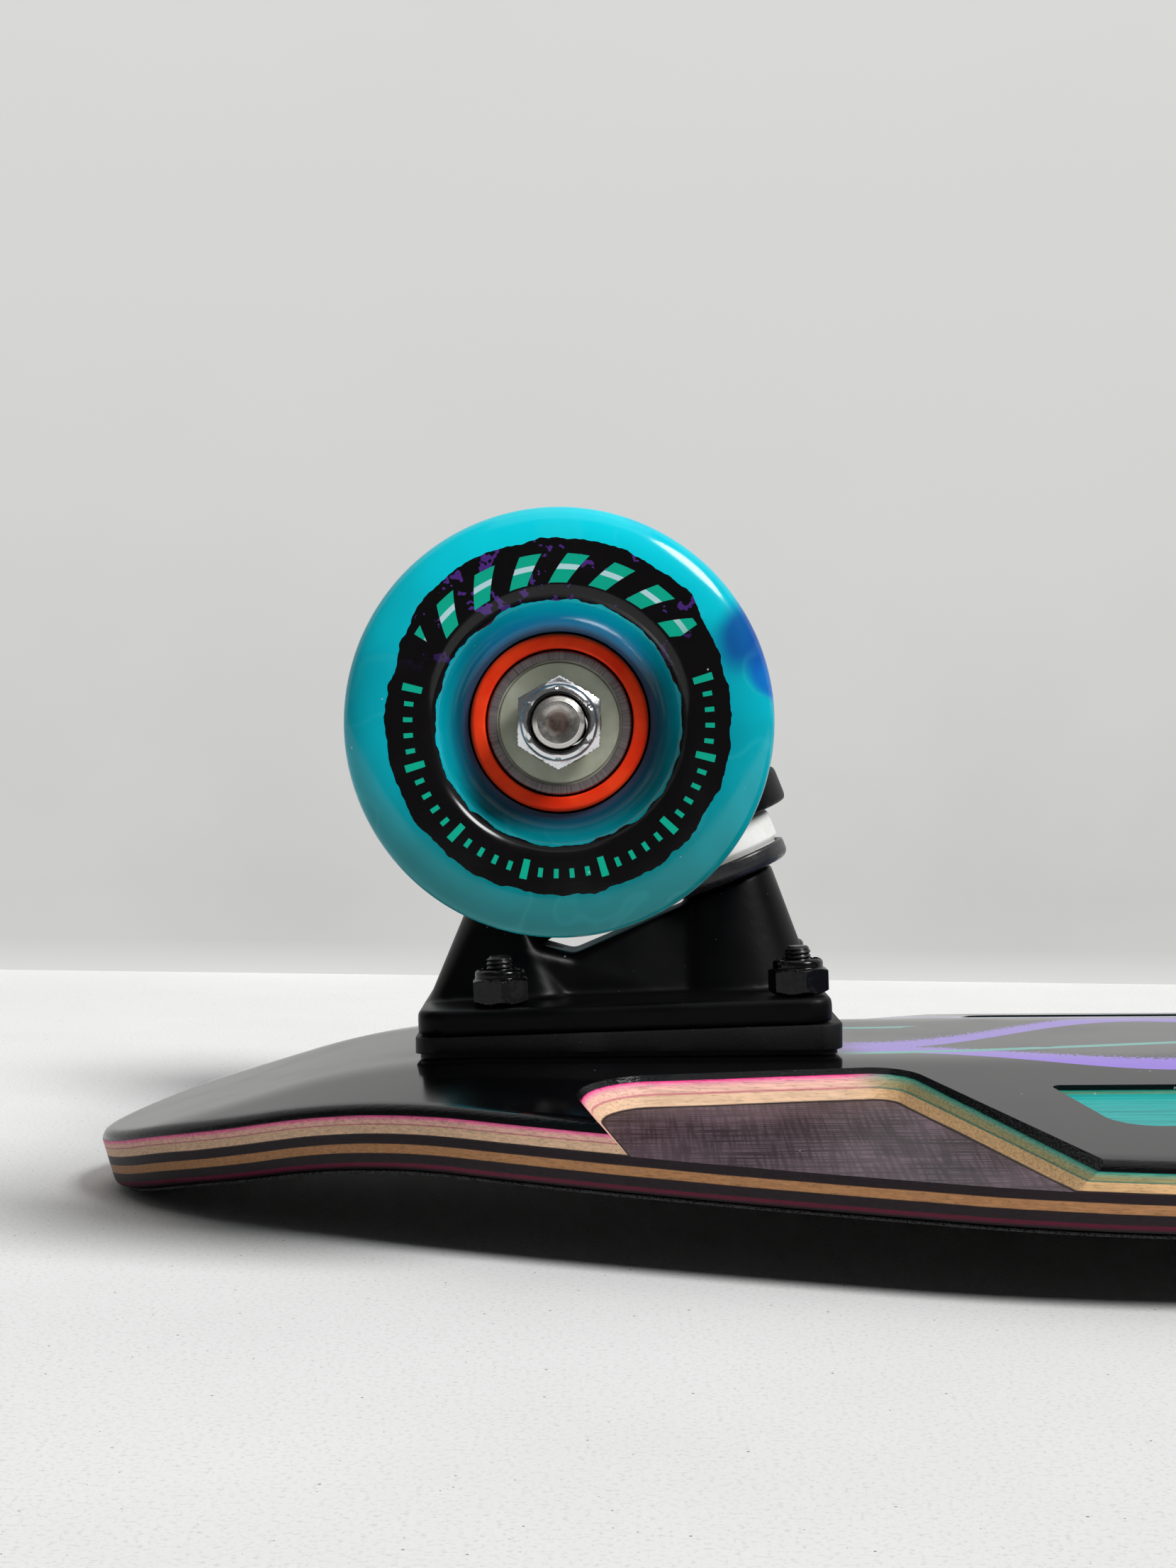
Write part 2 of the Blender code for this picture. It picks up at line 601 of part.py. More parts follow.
def build_baseplate(name, place, finish):
    """Cast baseplate: bolted plate, pivot cup housing at the outer end, kingpin boss at the inner end.

    A rib runs down inwards from the housing's mouth, and from its low end a web climbs to the boss, so that the
    two make a notch.
    """
    outer, inner, wide = -PLATE_OUTER, PLATE_INNER, PLATE_HALF_WIDTH

    def plate(inset, height):
        points = rounded_rectangle(outer + inset, inner - inset, wide - inset, PAD_CORNER_RADIUS)
        return [Vector((p.x, p.y, height)) for p in points]

    body = loft([plate(0.0, 0.0), plate(0.0, PLATE_THICKNESS - CAST_EDGE), plate(CAST_EDGE, PLATE_THICKNESS)])

    low = PLATE_THICKNESS / 2
    mouth = [along_pivot(HOUSING_MOUTH) @ p for p in circle(HOUSING_RADIUS, 0.0, CAST_STEPS)]
    back = along_pivot(PIVOT_PIN_END)
    rear = [back @ p for p in circle(HOUSING_RADIUS, 0.0, CAST_STEPS)]
    foot_width = HOUSING_RADIUS + HOUSING_FLARE
    foot_ends = (outer + HOUSING_SETBACK, HOUSING_FOOT_END)
    foot = [Vector((x, y, low)) for x in foot_ends for y in (-foot_width, foot_width)]
    housing = hull(mouth + rear + foot)

    top = [along_kingpin(BOSS_HEIGHT) @ p for p in circle(BOSS_RADIUS, 0.0, CAST_STEPS)]
    skirt_middle = KINGPIN_FOOT - BOSS_SKIRT_SHIFT
    skirt = [Vector((skirt_middle + p.x * BOSS_SKIRT_STRETCH, p.y, low))
             for p in circle(BOSS_SKIRT_RADIUS, 0.0, CAST_STEPS)]
    boss = hull(top + skirt)

    sides = (-RIB_HALF_WIDTH, RIB_HALF_WIDTH)
    notch = [Vector((NOTCH_X, y, h)) for y in sides for h in (low, NOTCH_HEIGHT)]
    mouth_x = along_pivot(HOUSING_MOUTH).translation.x
    rib = hull(notch + [Vector((mouth_x, y, h)) for y in sides for h in (low, RIB_HEIGHT)])
    web_foot = [Vector((KINGPIN_FOOT - BOSS_SKIRT_RADIUS, y, low)) for y in sides]
    crest_sides = (-WEB_CREST_HALF_WIDTH, WEB_CREST_HALF_WIDTH)
    crest = [along_kingpin(BOSS_HEIGHT - CAST_EDGE) @ Vector((-WEB_REACH, y, 0)) for y in crest_sides]
    web = hull(notch + web_foot + crest)
    body = combined(body, [housing, boss, rib, web], "UNION")

    cup = PIVOT_CUP_WALL + PIVOT_PIN_RADIUS + 2 * FIT_GAP
    seat_end = PIVOT_PIN_END + PIVOT_CUP_WALL + 2 * FIT_GAP
    seat = moved(turned([(cup, HOUSING_MOUTH - 2 * PAST), (cup, seat_end)]), along_pivot(0))
    bore = KINGPIN_RADIUS + FIT_GAP
    recess = corner_radius(KINGPIN_HEAD_FLATS) + FIT_GAP
    recess_top = kingpin_head_top() + FIT_GAP
    shaft = turned([(recess, -PAST), (recess, recess_top), (bore, recess_top), (bore, BOSS_HEIGHT + PAST)])
    cutters = [seat, moved(shaft, along_kingpin(0))]
    hole_radius = BOLT_RADIUS + FIT_GAP
    spot_radius = corner_radius(MOUNT_NUT_FLATS) + NUT_ROOM
    for s, y in bolt_places():
        hole = turned([(hole_radius, -PAST), (hole_radius, PLATE_THICKNESS + PAST)], SMALL_STEPS)
        spot = turned([(spot_radius, PLATE_THICKNESS), (spot_radius, NOTCH_HEIGHT + PAST)])
        cutters += [moved(cutter, Matrix.Translation((s, y, 0))) for cutter in (hole, spot)]
    body = combined(body, cutters, "DIFFERENCE")
    add_object(name + "_baseplate", body, finish, place)


def kingpin_head_top():
    """Height along the kingpin at which its head ends, with the head's low corner inside the plate."""
    return corner_radius(KINGPIN_HEAD_FLATS) * tan(KINGPIN_LEAN) + FIT_GAP * 2 + KINGPIN_HEAD_HEIGHT


def stack_levels():
    """Heights along the kingpin of everything that is threaded on it, from the boss to the kingpin's end."""
    ring_low = RING_CENTRE - RING_THICKNESS / 2
    ring_high = RING_CENTRE + RING_THICKNESS / 2
    levels = {"low_washer": BOSS_HEIGHT + FIT_GAP}
    levels["low_bushing"] = levels["low_washer"] + WASHER_THICKNESS + FIT_GAP
    levels["ring_low"] = ring_low
    levels["ring_high"] = ring_high
    levels["high_bushing"] = ring_high + FIT_GAP
    levels["high_washer"] = levels["high_bushing"] + ROADSIDE_BUSHING_HEIGHT + FIT_GAP
    levels["nut"] = levels["high_washer"] + WASHER_THICKNESS + FIT_GAP
    levels["end"] = levels["nut"] + KINGPIN_NUT_HEIGHT + NUT_COLLAR_HEIGHT + KINGPIN_PROUD
    return levels


def stack_radius():
    """Widest radius of the roadside washer and nut."""
    return BUSHING_TOP_RADIUS + WASHER_WALL


def build_kingpin_stack(name, place, finishes):
    """Kingpin, cupped washers, bushings and nut, all on the kingpin's axis."""
    axis = place @ along_kingpin(0)
    levels = stack_levels()
    head = kingpin_head_top()
    bore = KINGPIN_RADIUS + FIT_GAP

    low = head - KINGPIN_HEAD_HEIGHT
    pin = loft([
        hexagon(KINGPIN_HEAD_FLATS, low, ROD_CHAMFER),
        hexagon(KINGPIN_HEAD_FLATS, low + ROD_CHAMFER),
        hexagon(KINGPIN_HEAD_FLATS, head),
        circle(KINGPIN_RADIUS, head, NUT_STEPS),
        circle(KINGPIN_RADIUS, levels["end"] - ROD_CHAMFER, NUT_STEPS),
        circle(KINGPIN_RADIUS - ROD_CHAMFER, levels["end"], NUT_STEPS),
    ])
    add_object(name + "_kingpin", pin, finishes["steel"], axis)

    base = levels["low_washer"]
    floor = base + WASHER_THICKNESS
    rim_inner = BUSHING_SEAT_RADIUS + FIT_GAP
    rim_outer = rim_inner + WASHER_WALL
    profile = [(bore, base), (rim_outer - WASHER_DRAFT, base), (rim_outer, base + WASHER_RIM)]
    profile += [(rim_inner, base + WASHER_RIM), (rim_inner, floor), (bore, floor)]
    add_object(name + "_boardside_washer", turned(profile, hollow=True), finishes["washer"], axis)

    base, top = levels["low_bushing"], levels["ring_low"] - FIT_GAP
    collar = RING_BORE - FIT_GAP
    middle = RING_CENTRE - FIT_GAP / 2
    rim = levels["low_washer"] + WASHER_RIM
    profile = [(BUSHING_SEAT_RADIUS, base), (BUSHING_SEAT_RADIUS, rim), (BUSHING_RADIUS, rim + BUSHING_FLARE)]
    profile += [(BUSHING_RADIUS, top), (collar, top), (collar, middle)]
    profile += [(bore, middle), (bore, base)]
    add_object(name + "_boardside_bushing", turned(profile, hollow=True), finishes["bushing"], axis)

    base, top = levels["high_bushing"], levels["high_washer"] - FIT_GAP
    middle = RING_CENTRE + FIT_GAP / 2
    profile = [(bore, middle), (collar, middle), (collar, base), (BUSHING_SEAT_RADIUS, base)]
    profile += [(BUSHING_SEAT_RADIUS, base + BUSHING_BAND), (BUSHING_TOP_RADIUS, top), (bore, top)]
    profile.reverse()
    add_object(name + "_roadside_bushing", turned(profile, hollow=True), finishes["bushing"], axis)

    base = levels["high_washer"]
    top = base + WASHER_THICKNESS
    wide = stack_radius()
    profile = [(wide, base), (wide, top - ROD_CHAMFER), (wide - ROD_CHAMFER, top), (bore, top), (bore, base)]
    add_object(name + "_roadside_washer", turned(profile, hollow=True), finishes["washer"], axis)

    nut = lock_nut(KINGPIN_HEAD_FLATS, KINGPIN_NUT_HEIGHT, NUT_COLLAR_HEIGHT, bore)
    spot = axis @ Matrix.Translation((0, 0, levels["nut"]))
    add_object(name + "_kingpin_nut", nut, finishes["black"], spot)


def round_tip(radius, end):
    """Profile of the pivot pin's rounded tip, from the full radius to the blunt end."""
    return [(radius * cos(turn), end - radius * (1 - sin(turn))) for turn in (0.0, pi * 0.25, pi * 0.4)]


def build_pivot_cup(name, place, finish):
    """Urethane cup that the hanger's pivot pin turns in."""
    inner = PIVOT_PIN_RADIUS + FIT_GAP
    outer = inner + PIVOT_CUP_WALL
    floor = PIVOT_PIN_END + FIT_GAP
    mouth = HOUSING_MOUTH + FIT_GAP
    profile = round_tip(inner, floor)[::-1]
    profile += [(inner, mouth), (outer, mouth), (outer, floor + PIVOT_CUP_WALL)]
    add_object(name + "_pivot_cup", turned(profile), finish, place @ along_pivot(0))


def build_hanger(name, place, finish):
    """Cast hanger: bushing ring, yoke, pivot pin and the arms that hold the axle."""
    levels = stack_levels()
    low, high = levels["ring_low"], levels["ring_high"]
    ring = [(RING_RADIUS - CAST_EDGE, low), (RING_RADIUS, low + CAST_EDGE)]
    ring += [(RING_RADIUS, high - CAST_EDGE), (RING_RADIUS - CAST_EDGE, high)]
    ring = moved(turned(ring), along_kingpin(0))

    end = HANGER_HALF_LENGTH
    half = [(HANGER_MIDDLE_RADIUS, YOKE_HALF_WIDTH), (HANGER_END_RADIUS, end - CAST_EDGE)]
    half += [(HANGER_END_RADIUS - CAST_EDGE, end)]
    arms = moved(turned([(r, -y) for r, y in reversed(half)] + half, CAST_STEPS), along_axle())

    around = circle(HANGER_END_RADIUS, 0.0, CAST_STEPS)
    ends = [on_axle(y) @ p for y in (-YOKE_REACH, YOKE_REACH) for p in around]
    half_ring = []
    for height in (low + YOKE_INSET, high - YOKE_INSET):
        around = circle(RING_RADIUS - YOKE_INSET, 0.0, CAST_STEPS)
        half_ring += [along_kingpin(height) @ p for p in around if p.x < MERGE]
    yoke = hull(ends + half_ring)

    neck = [along_pivot(SADDLE_START) @ p for p in circle(SADDLE_RADIUS, 0.0, CAST_STEPS)]
    for y in (-SADDLE_HALF_WIDTH, SADDLE_HALF_WIDTH):
        neck += [on_axle(y) @ p for p in circle(SADDLE_RADIUS, 0.0, CAST_STEPS)]
    saddle = hull(neck + [along_pivot(SADDLE_END) @ p for p in circle(SADDLE_END_RADIUS, 0.0, CAST_STEPS)])

    pin = [(PIN_ROOT_RADIUS, PIN_ROOT), (PIN_NECK_RADIUS, PIN_NECK)]
    pin += [(PIVOT_PIN_RADIUS, HOUSING_MOUTH - PIN_LEAD), *round_tip(PIVOT_PIN_RADIUS, PIVOT_PIN_END)]
    pin = moved(turned(pin), along_pivot(0))
    body = combined(ring, [arms, yoke, saddle, pin], "UNION")

    room = []
    for height, radius in ((high - SPOT_FACE, BUSHING_SEAT_RADIUS), (levels["end"] + PAST, stack_radius())):
        sway = (height - RING_CENTRE) * tan(LEAN_LIMIT)
        for y in (-sway, sway):
            around = circle(radius + STACK_ROOM, 0.0, ROUND_STEPS)
            room += [along_kingpin(height) @ (p + Vector((0, y, 0))) for p in around]
    low_room = BUSHING_RADIUS + BULGE_ROOM
    below = turned([(low_room, BOSS_HEIGHT - PAST), (low_room, low + SPOT_FACE)])
    ring_bore = turned([(RING_BORE, low - PAST), (RING_BORE, high + PAST)])
    axle_bore = turned([(AXLE_RADIUS + FIT_GAP, -end - PAST), (AXLE_RADIUS + FIT_GAP, end + PAST)])
    cutters = [moved(ring_bore, along_kingpin(0)), hull(room), moved(below, along_kingpin(0))]
    cutters.append(moved(axle_bore, along_axle()))
    body = combined(body, cutters, "DIFFERENCE")
    pivot = along_pivot(0)
    add_object(name + "_hanger", moved(body, pivot.inverted()), finish, place @ pivot)


def build_axle(name, place, finish):
    """Steel axle rod, bare and chamfered at its ends."""
    half = [(AXLE_RADIUS, AXLE_HALF_LENGTH - ROD_CHAMFER), (AXLE_RADIUS - ROD_CHAMFER, AXLE_HALF_LENGTH)]
    rod = turned([(r, -y) for r, y in reversed(half)] + half, AXLE_STEPS)
    add_object(name + "_axle", rod, finish, place @ along_axle())


def build_wheel(name, place, finishes):
    """One wheel about its own middle, z outwards: tyre, core, two bearings and the axle nut."""
    wide, recess = WHEEL_HALF_WIDTH, CORE_HALF_WIDTH - RECESS_STEP
    half = [(CORE_RADIUS + FIT_GAP, recess), (SIDE_INNER_RADIUS - RECESS_DRAFT, recess)]
    half += [(SIDE_INNER_RADIUS, wide), (SIDE_OUTER_RADIUS, wide)]
    half += [(WHEEL_RADIUS - SHOULDER_DROP, TREAD_HALF_WIDTH + SHOULDER_REACH)]
    half += [(WHEEL_RADIUS, TREAD_HALF_WIDTH)]
    profile = half[::-1] + [(r, -z) for r, z in half]
    add_object(name + "_tyre", turned(profile, TYRE_STEPS, hollow=True), finishes["tyre"], place)

    seat = BEARING_RADIUS + FIT_GAP
    shoulder = BEARING_SPACING / 2 - BEARING_WIDTH - FIT_GAP
    half = [(CORE_SHOULDER, shoulder), (seat, shoulder)]
    half += [(seat, CORE_HALF_WIDTH), (CORE_RADIUS, CORE_HALF_WIDTH)]
    profile = half[::-1] + [(r, -z) for r, z in half]
    add_object(name + "_core", turned(profile, hollow=True), finishes["core"], place)

    bore = AXLE_RADIUS + FIT_GAP
    outer, inner = BEARING_SPACING / 2, BEARING_SPACING / 2 - BEARING_WIDTH
    race = BEARING_RADIUS - RACE_WIDTH
    face = outer - BEARING_RECESS
    profile = [(BEARING_RADIUS, inner), (BEARING_RADIUS, outer), (race, outer), (race, face)]
    profile += [(bore, face), (bore, inner)]
    for part, turn in (("outer_bearing", 0.0), ("inner_bearing", pi)):
        spot = place @ Matrix.Rotation(turn, 4, "X")
        add_object(name + "_" + part, turned(profile, hollow=True), finishes["bearing"], spot)

    nut = lock_nut(AXLE_NUT_FLATS, AXLE_NUT_HEIGHT, AXLE_NUT_COLLAR, bore)
    spot = place @ Matrix.Translation((0, 0, outer + WASHER_GAP))
    add_object(name + "_axle_nut", nut, finishes["chrome"], spot)


def build_mounting(name, place, finishes):
    """Four countersunk bolts through deck, riser and baseplate, each with its lock nut."""
    nut_base = PLATE_THICKNESS + FIT_GAP
    tip = nut_base + MOUNT_NUT_HEIGHT + MOUNT_NUT_COLLAR + BOLT_PROUD
    for number, (s, y) in enumerate(bolt_places(), start=1):
        spot = place @ Matrix.Translation((s, y, 0))
        head = -bolt_depth(s)
        profile = [(BOLT_HEAD_RADIUS, head), (BOLT_RADIUS, head + BOLT_HEAD_HEIGHT)]
        profile += [(BOLT_RADIUS, tip - ROD_CHAMFER), (BOLT_RADIUS - ROD_CHAMFER, tip)]
        add_object(f"{name}_bolt_{number}", turned(profile, SMALL_STEPS), finishes["black"], spot)
        nut = lock_nut(MOUNT_NUT_FLATS, MOUNT_NUT_HEIGHT, MOUNT_NUT_COLLAR, BOLT_RADIUS + FIT_GAP)
        seat = spot @ Matrix.Translation((0, 0, nut_base))
        add_object(f"{name}_bolt_nut_{number}", nut, finishes["black"], seat)


def lay_down():
    """Lays the board on a level floor: nose and tail touch it, and the origin is under the middle."""
    bpy.context.view_layer.update()
    points = [o.matrix_world @ v.co for o in bpy.data.objects if o.type == "MESH" for v in o.data.vertices]
    angle = 0.0
    for _ in range(6):
        lean = Matrix.Rotation(angle, 4, "Y")
        nose = min((p for p in points if p.x < 0), key=lambda p: (lean @ p).z)
        tail = min((p for p in points if p.x > 0), key=lambda p: (lean @ p).z)
        angle = atan2(tail.z - nose.z, tail.x - nose.x)
    lean = Matrix.Rotation(angle, 4, "Y")
    laid = [lean @ p for p in points]
    middle = (min(p.x for p in laid) + max(p.x for p in laid)) / 2
    floor = min(p.z for p in laid)
    board.matrix_world = Matrix.Translation((-middle, 0.0, -floor)) @ lean


finishes = {
    "tyre": material("urethane", (0.02, 0.30, 0.33), 0.3),
    "core": material("core_plastic", (0.85, 0.13, 0.04), 0.45),
    "bearing": material("bearing_steel", (0.22, 0.25, 0.25), 0.35, 0.8),
    "chrome": material("nut_chrome", (0.60, 0.60, 0.60), 0.15, 1.0),
    "steel": material("plain_steel", (0.45, 0.45, 0.44), 0.35, 1.0),
    "washer": material("washer_black", (0.02, 0.02, 0.02), 0.3, 0.6),
    "bushing": material("bushing_white", (0.80, 0.80, 0.77), 0.45),
    "black": material("black_oxide", (0.02, 0.02, 0.022), 0.35, 0.7),
    "cast": material("cast_black", (0.020, 0.021, 0.023), 0.35),
    "rubber": material("riser_rubber", (0.025, 0.025, 0.027), 0.6),
    "cup": material("pivot_cup_urethane", (0.05, 0.05, 0.05), 0.5),
}

build_deck()
for end_name, end_side in (("front", -1), ("rear", 1)):
    truck = truck_frame(end_side)
    build_riser(end_name, end_side, finishes["rubber"])
    build_baseplate(end_name, truck, finishes["cast"])
    build_pivot_cup(end_name, truck, finishes["cup"])
    build_kingpin_stack(end_name, truck, finishes)
    build_hanger(end_name, truck, finishes["cast"])
    build_axle(end_name, truck, finishes["steel"])
    build_mounting(end_name, truck, finishes)
    for side_name, world_side in (("left", 1), ("right", -1)):
        own_side = world_side if end_side < 0 else -world_side
        wheel_place = truck @ on_axle(own_side * WHEEL_Y)
        build_wheel(f"{end_name}_{side_name}", wheel_place, finishes)
lay_down()
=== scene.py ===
"""Looks, camera and light for the cruiser skateboard, which lies on its grip side with its wheels up."""
import json
from math import cos, pi, radians, sin, tan

import bmesh
import bpy
import numpy as np
from mathutils import Matrix, Vector


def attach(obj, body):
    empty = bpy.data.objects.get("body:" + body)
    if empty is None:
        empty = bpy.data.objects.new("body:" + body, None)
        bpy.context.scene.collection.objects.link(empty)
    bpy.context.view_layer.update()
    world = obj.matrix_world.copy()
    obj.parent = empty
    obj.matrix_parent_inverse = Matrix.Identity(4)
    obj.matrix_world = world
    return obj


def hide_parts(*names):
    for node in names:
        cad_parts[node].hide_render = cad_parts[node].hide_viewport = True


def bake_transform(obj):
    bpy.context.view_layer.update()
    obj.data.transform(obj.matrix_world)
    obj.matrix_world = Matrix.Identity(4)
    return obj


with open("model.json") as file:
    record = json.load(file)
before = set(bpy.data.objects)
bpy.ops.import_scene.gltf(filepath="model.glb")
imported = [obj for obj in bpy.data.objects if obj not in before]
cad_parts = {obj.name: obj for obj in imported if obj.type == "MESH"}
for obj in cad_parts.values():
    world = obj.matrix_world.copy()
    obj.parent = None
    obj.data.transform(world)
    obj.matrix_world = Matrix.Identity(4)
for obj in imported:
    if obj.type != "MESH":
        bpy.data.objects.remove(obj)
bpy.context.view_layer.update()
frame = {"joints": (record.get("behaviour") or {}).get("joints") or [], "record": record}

# Places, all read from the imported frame. The deck is worked out flat and then laid where the mount on its
# face says, because the board leans a little on its nose and its longer tail. A truck's place follows from
# its axle and from the axis that it leans about.
MOUNT_ALONG = 0.030  # from the middle of the board to the mount on its grip
GRIP_DEPTH = 0.0119  # from the face of the deck to the mount
PIVOT_ANGLE = radians(30.0)  # between the lean axis and the baseplate
AXLE_HEIGHT = 0.0548  # above the baseplate's underside

joints = {joint["name"]: joint for joint in frame["joints"]}
ENDS = {"front": -1, "rear": 1}
SIDES = {"left": 1, "right": -1}


def placed(x_axis, y_axis, z_axis, origin):
    """The matrix of a frame with these three axes and this origin."""
    matrix = Matrix((x_axis, y_axis, z_axis)).transposed().to_4x4()
    matrix.translation = origin
    return matrix


def read_board_place():
    """Board frame: x along the board, y across, z away from the grip side, origin on the middle of the
    face."""
    mount = next(m for m in frame["record"]["mounts"] if m["name"] == "grip_face_rest")
    up = -Vector(mount["axis"])
    along = Vector((up.z, 0.0, -up.x))
    foot = Vector((mount["pos_m"][0], 0.0, mount["pos_m"][2])) + up * GRIP_DEPTH - along * MOUNT_ALONG
    return placed(along, Vector((0.0, 1.0, 0.0)), up, foot)


def read_truck_place(end):
    """Truck frame: x towards the board's middle, z away from the deck, origin on the plate under the
    axle."""
    rise = Vector(joints[end + "_lean"]["axis"])
    square = Vector((-rise.z, 0.0, rise.x)) * (1.0 if rise.x > 0 else -1.0)
    inwards = rise * cos(PIVOT_ANGLE) - square * sin(PIVOT_ANGLE)
    up = rise * sin(PIVOT_ANGLE) + square * cos(PIVOT_ANGLE)
    left, right = [Vector(joints[f"{end}_{side}_spin"]["pos_m"]) for side in SIDES]
    return placed(inwards, up.cross(inwards), up, (left + right) / 2 - up * AXLE_HEIGHT)


def read_wheel_place(end, side):
    """Wheel frame: z out along the axle and x along the truck, origin in the wheel's middle."""
    outwards = Vector((0.0, SIDES[side], 0.0))
    inwards = truck_places[end].to_3x3() @ Vector((1.0, 0.0, 0.0))
    return placed(inwards, outwards.cross(inwards), outwards, Vector(joints[f"{end}_{side}_spin"]["pos_m"]))


board_place = read_board_place()
truck_places = {end: read_truck_place(end) for end in ENDS}
wheel_places = {(end, side): read_wheel_place(end, side) for end in ENDS for side in SIDES}

# The deck: seven maple plies in black gloss lacquer, pressed with a kick at each end and a shallow dish,
# and sanded round at the edge. Four wheel wells are routed three plies deep, and a window along each side
# goes through the face ply alone. Dyed plies show where the wood is cut.
WHEELBASE = 0.387
BOLT_SPACING_LONG = 0.05398
BOLT_SPACING_WIDE = 0.0413
BOLT_TO_AXLE = 0.0132
BOLT_RADIUS = 0.0024
BOLT_HEAD_RADIUS = 0.0046
BOLT_HEAD_HEIGHT = 0.0026
FIT_GAP = 0.0003
NOSE_LENGTH = 0.0785
TAIL_LENGTH = 0.1246
WAIST_HALF_WIDTH = 0.1060
TAIL_HALF_WIDTH = 0.0860
NOSE_TIP_RADIUS = 0.0292
TAIL_TIP_RADIUS = 0.0980
OUTLINE_BLEND = 0.010
DECK_THICKNESS = 0.0110
PLY = DECK_THICKNESS / 7
EDGE_ROUND = 0.0020
KICK_START = 0.0040
KICK_RADIUS = 0.127
KICK_ANGLE = radians(16.4)
FLAT_HALF_WIDTH = 0.0250
DISH_BLEND = 0.010
DISH_ANGLE = radians(5.6)
WELL_DEPTH = 3 * PLY
WELL_CORNERS = ((-0.0023, 0.0434), (0.0575, 0.0360), (0.0899, 0.1250), (0.0146, 0.1250))
WELL_CORNER_RADII = (0.014, 0.009, 0.006, 0.006)
WELL_WALL_SLOPE = 0.0042
WELL_COVE = 0.0011  # rounding where a well's wall meets its floor
WINDOW_DEPTH = PLY
WINDOW_CORNERS = ((0.0804, 0.0506), (0.0868, 0.0780))
WINDOW_CORNER_RADII = (0.0015, 0.008)
CUT_PAST = 0.003
TIP_FAN = 0.050  # how far from either tip the deck's ribs fan out from
DYE_CHANGE = (0.058, 0.044)  # from a truck towards the middle, where the dyed plies change colour
PRINT_END = (0.178, 0.190)  # from the middle, where the strokes on the face fade out
OUTLINE_STEPS = 230
TIP_CLOSENESS = 0.4  # share of the outline's steps that crowd towards the tips
TIP_EASE = 6.0  # how fast the steps open out from the nose
FACE_STEPS = 30
SHARP_EDGE = radians(30.0)

TRUCK_X = WHEELBASE / 2 + BOLT_SPACING_LONG - BOLT_TO_AXLE
KICK_X = WHEELBASE / 2 + BOLT_SPACING_LONG + KICK_START
NOSE_S = -(WHEELBASE / 2 + BOLT_SPACING_LONG + NOSE_LENGTH)
TAIL_S = WHEELBASE / 2 + BOLT_SPACING_LONG + TAIL_LENGTH


def smooth_min(a, b, blend):
    """The smaller of two lengths, less a quarter of the blend times the square of how far they overlap in
    it."""
    overlap = np.maximum(blend - np.abs(a - b), 0.0) / blend
    return np.minimum(a, b) - overlap**2 * blend / 4


def half_width(s):
    """Half the deck's width at s: a parabola at each tip, straight sides that taper to the tail between
    them."""
    nose = np.sqrt(np.maximum(2 * NOSE_TIP_RADIUS * (s - NOSE_S), 0.0))
    tail = np.sqrt(np.maximum(2 * TAIL_TIP_RADIUS * (TAIL_S - s), 0.0))
    along = (s + TRUCK_X) / (TAIL_S + TRUCK_X)
    sides = WAIST_HALF_WIDTH + (TAIL_HALF_WIDTH - WAIST_HALF_WIDTH) * along
    return smooth_min(smooth_min(nose, sides, OUTLINE_BLEND), tail, OUTLINE_BLEND)


def deck_outline():
    """Points round the deck, closer at its tips, where the station runs as the cosine of the step's
    angle."""
    turn = np.linspace(0.0, pi, OUTLINE_STEPS + 1)
    even = (turn / pi) * (1 - TIP_CLOSENESS) + (1 - np.cos(turn)) / 2 * TIP_CLOSENESS
    ease = even * (1 - np.exp(-(turn * TIP_EASE) ** 2)) ** 0.5
    s = NOSE_S + (TAIL_S - NOSE_S) * np.clip(ease, 0, 1)
    s[-1] = TAIL_S
    half = np.stack([s, half_width(s)], axis=-1)
    return np.concatenate([half, half[-2:0:-1] * (1, -1)])


def inward(outline):
    """Unit normals into a closed outline: the chord between a point's neighbours, turned a quarter round."""
    chord = np.roll(outline, -1, axis=0) - np.roll(outline, 1, axis=0)
    normal = np.stack([chord[:, 1], -chord[:, 0]], axis=-1)
    normal /= np.linalg.norm(normal, axis=1, keepdims=True)
    middle = outline.mean(axis=0)
    facing = np.sign(np.sum(normal * (middle - outline)))
    return normal * facing


def quarter(radius, steps):
    """A quarter round as (inset, drop) pairs, from the flat of the face out to the side."""
    turn = np.linspace(0.0, pi / 2, steps + 1)
    return [(radius * (1 - np.sin(t)), radius * (1 - np.cos(t))) for t in turn]


def slab(outline, spine, profile, steps):
    """A closed plate: ribs run from the spine to the outline on one face, down the side profile of (inset,
    height) pairs, and back to the spine on the other face."""
    ins = inward(outline)
    rim = [np.column_stack([outline + ins * inset, np.full(len(outline), height)])
           for inset, height in profile]
    rows = []
    for edge, order in ((rim[0], 1), (rim[-1], -1)):
        core = np.column_stack([spine, edge[:, 2]])
        share = np.linspace(0.0, 1.0, steps + 1)[:-1, None, None]
        face = core + (edge - core) * share
        rows.append(face[::order])
    return np.concatenate([rows[0], np.array(rim), rows[1]])


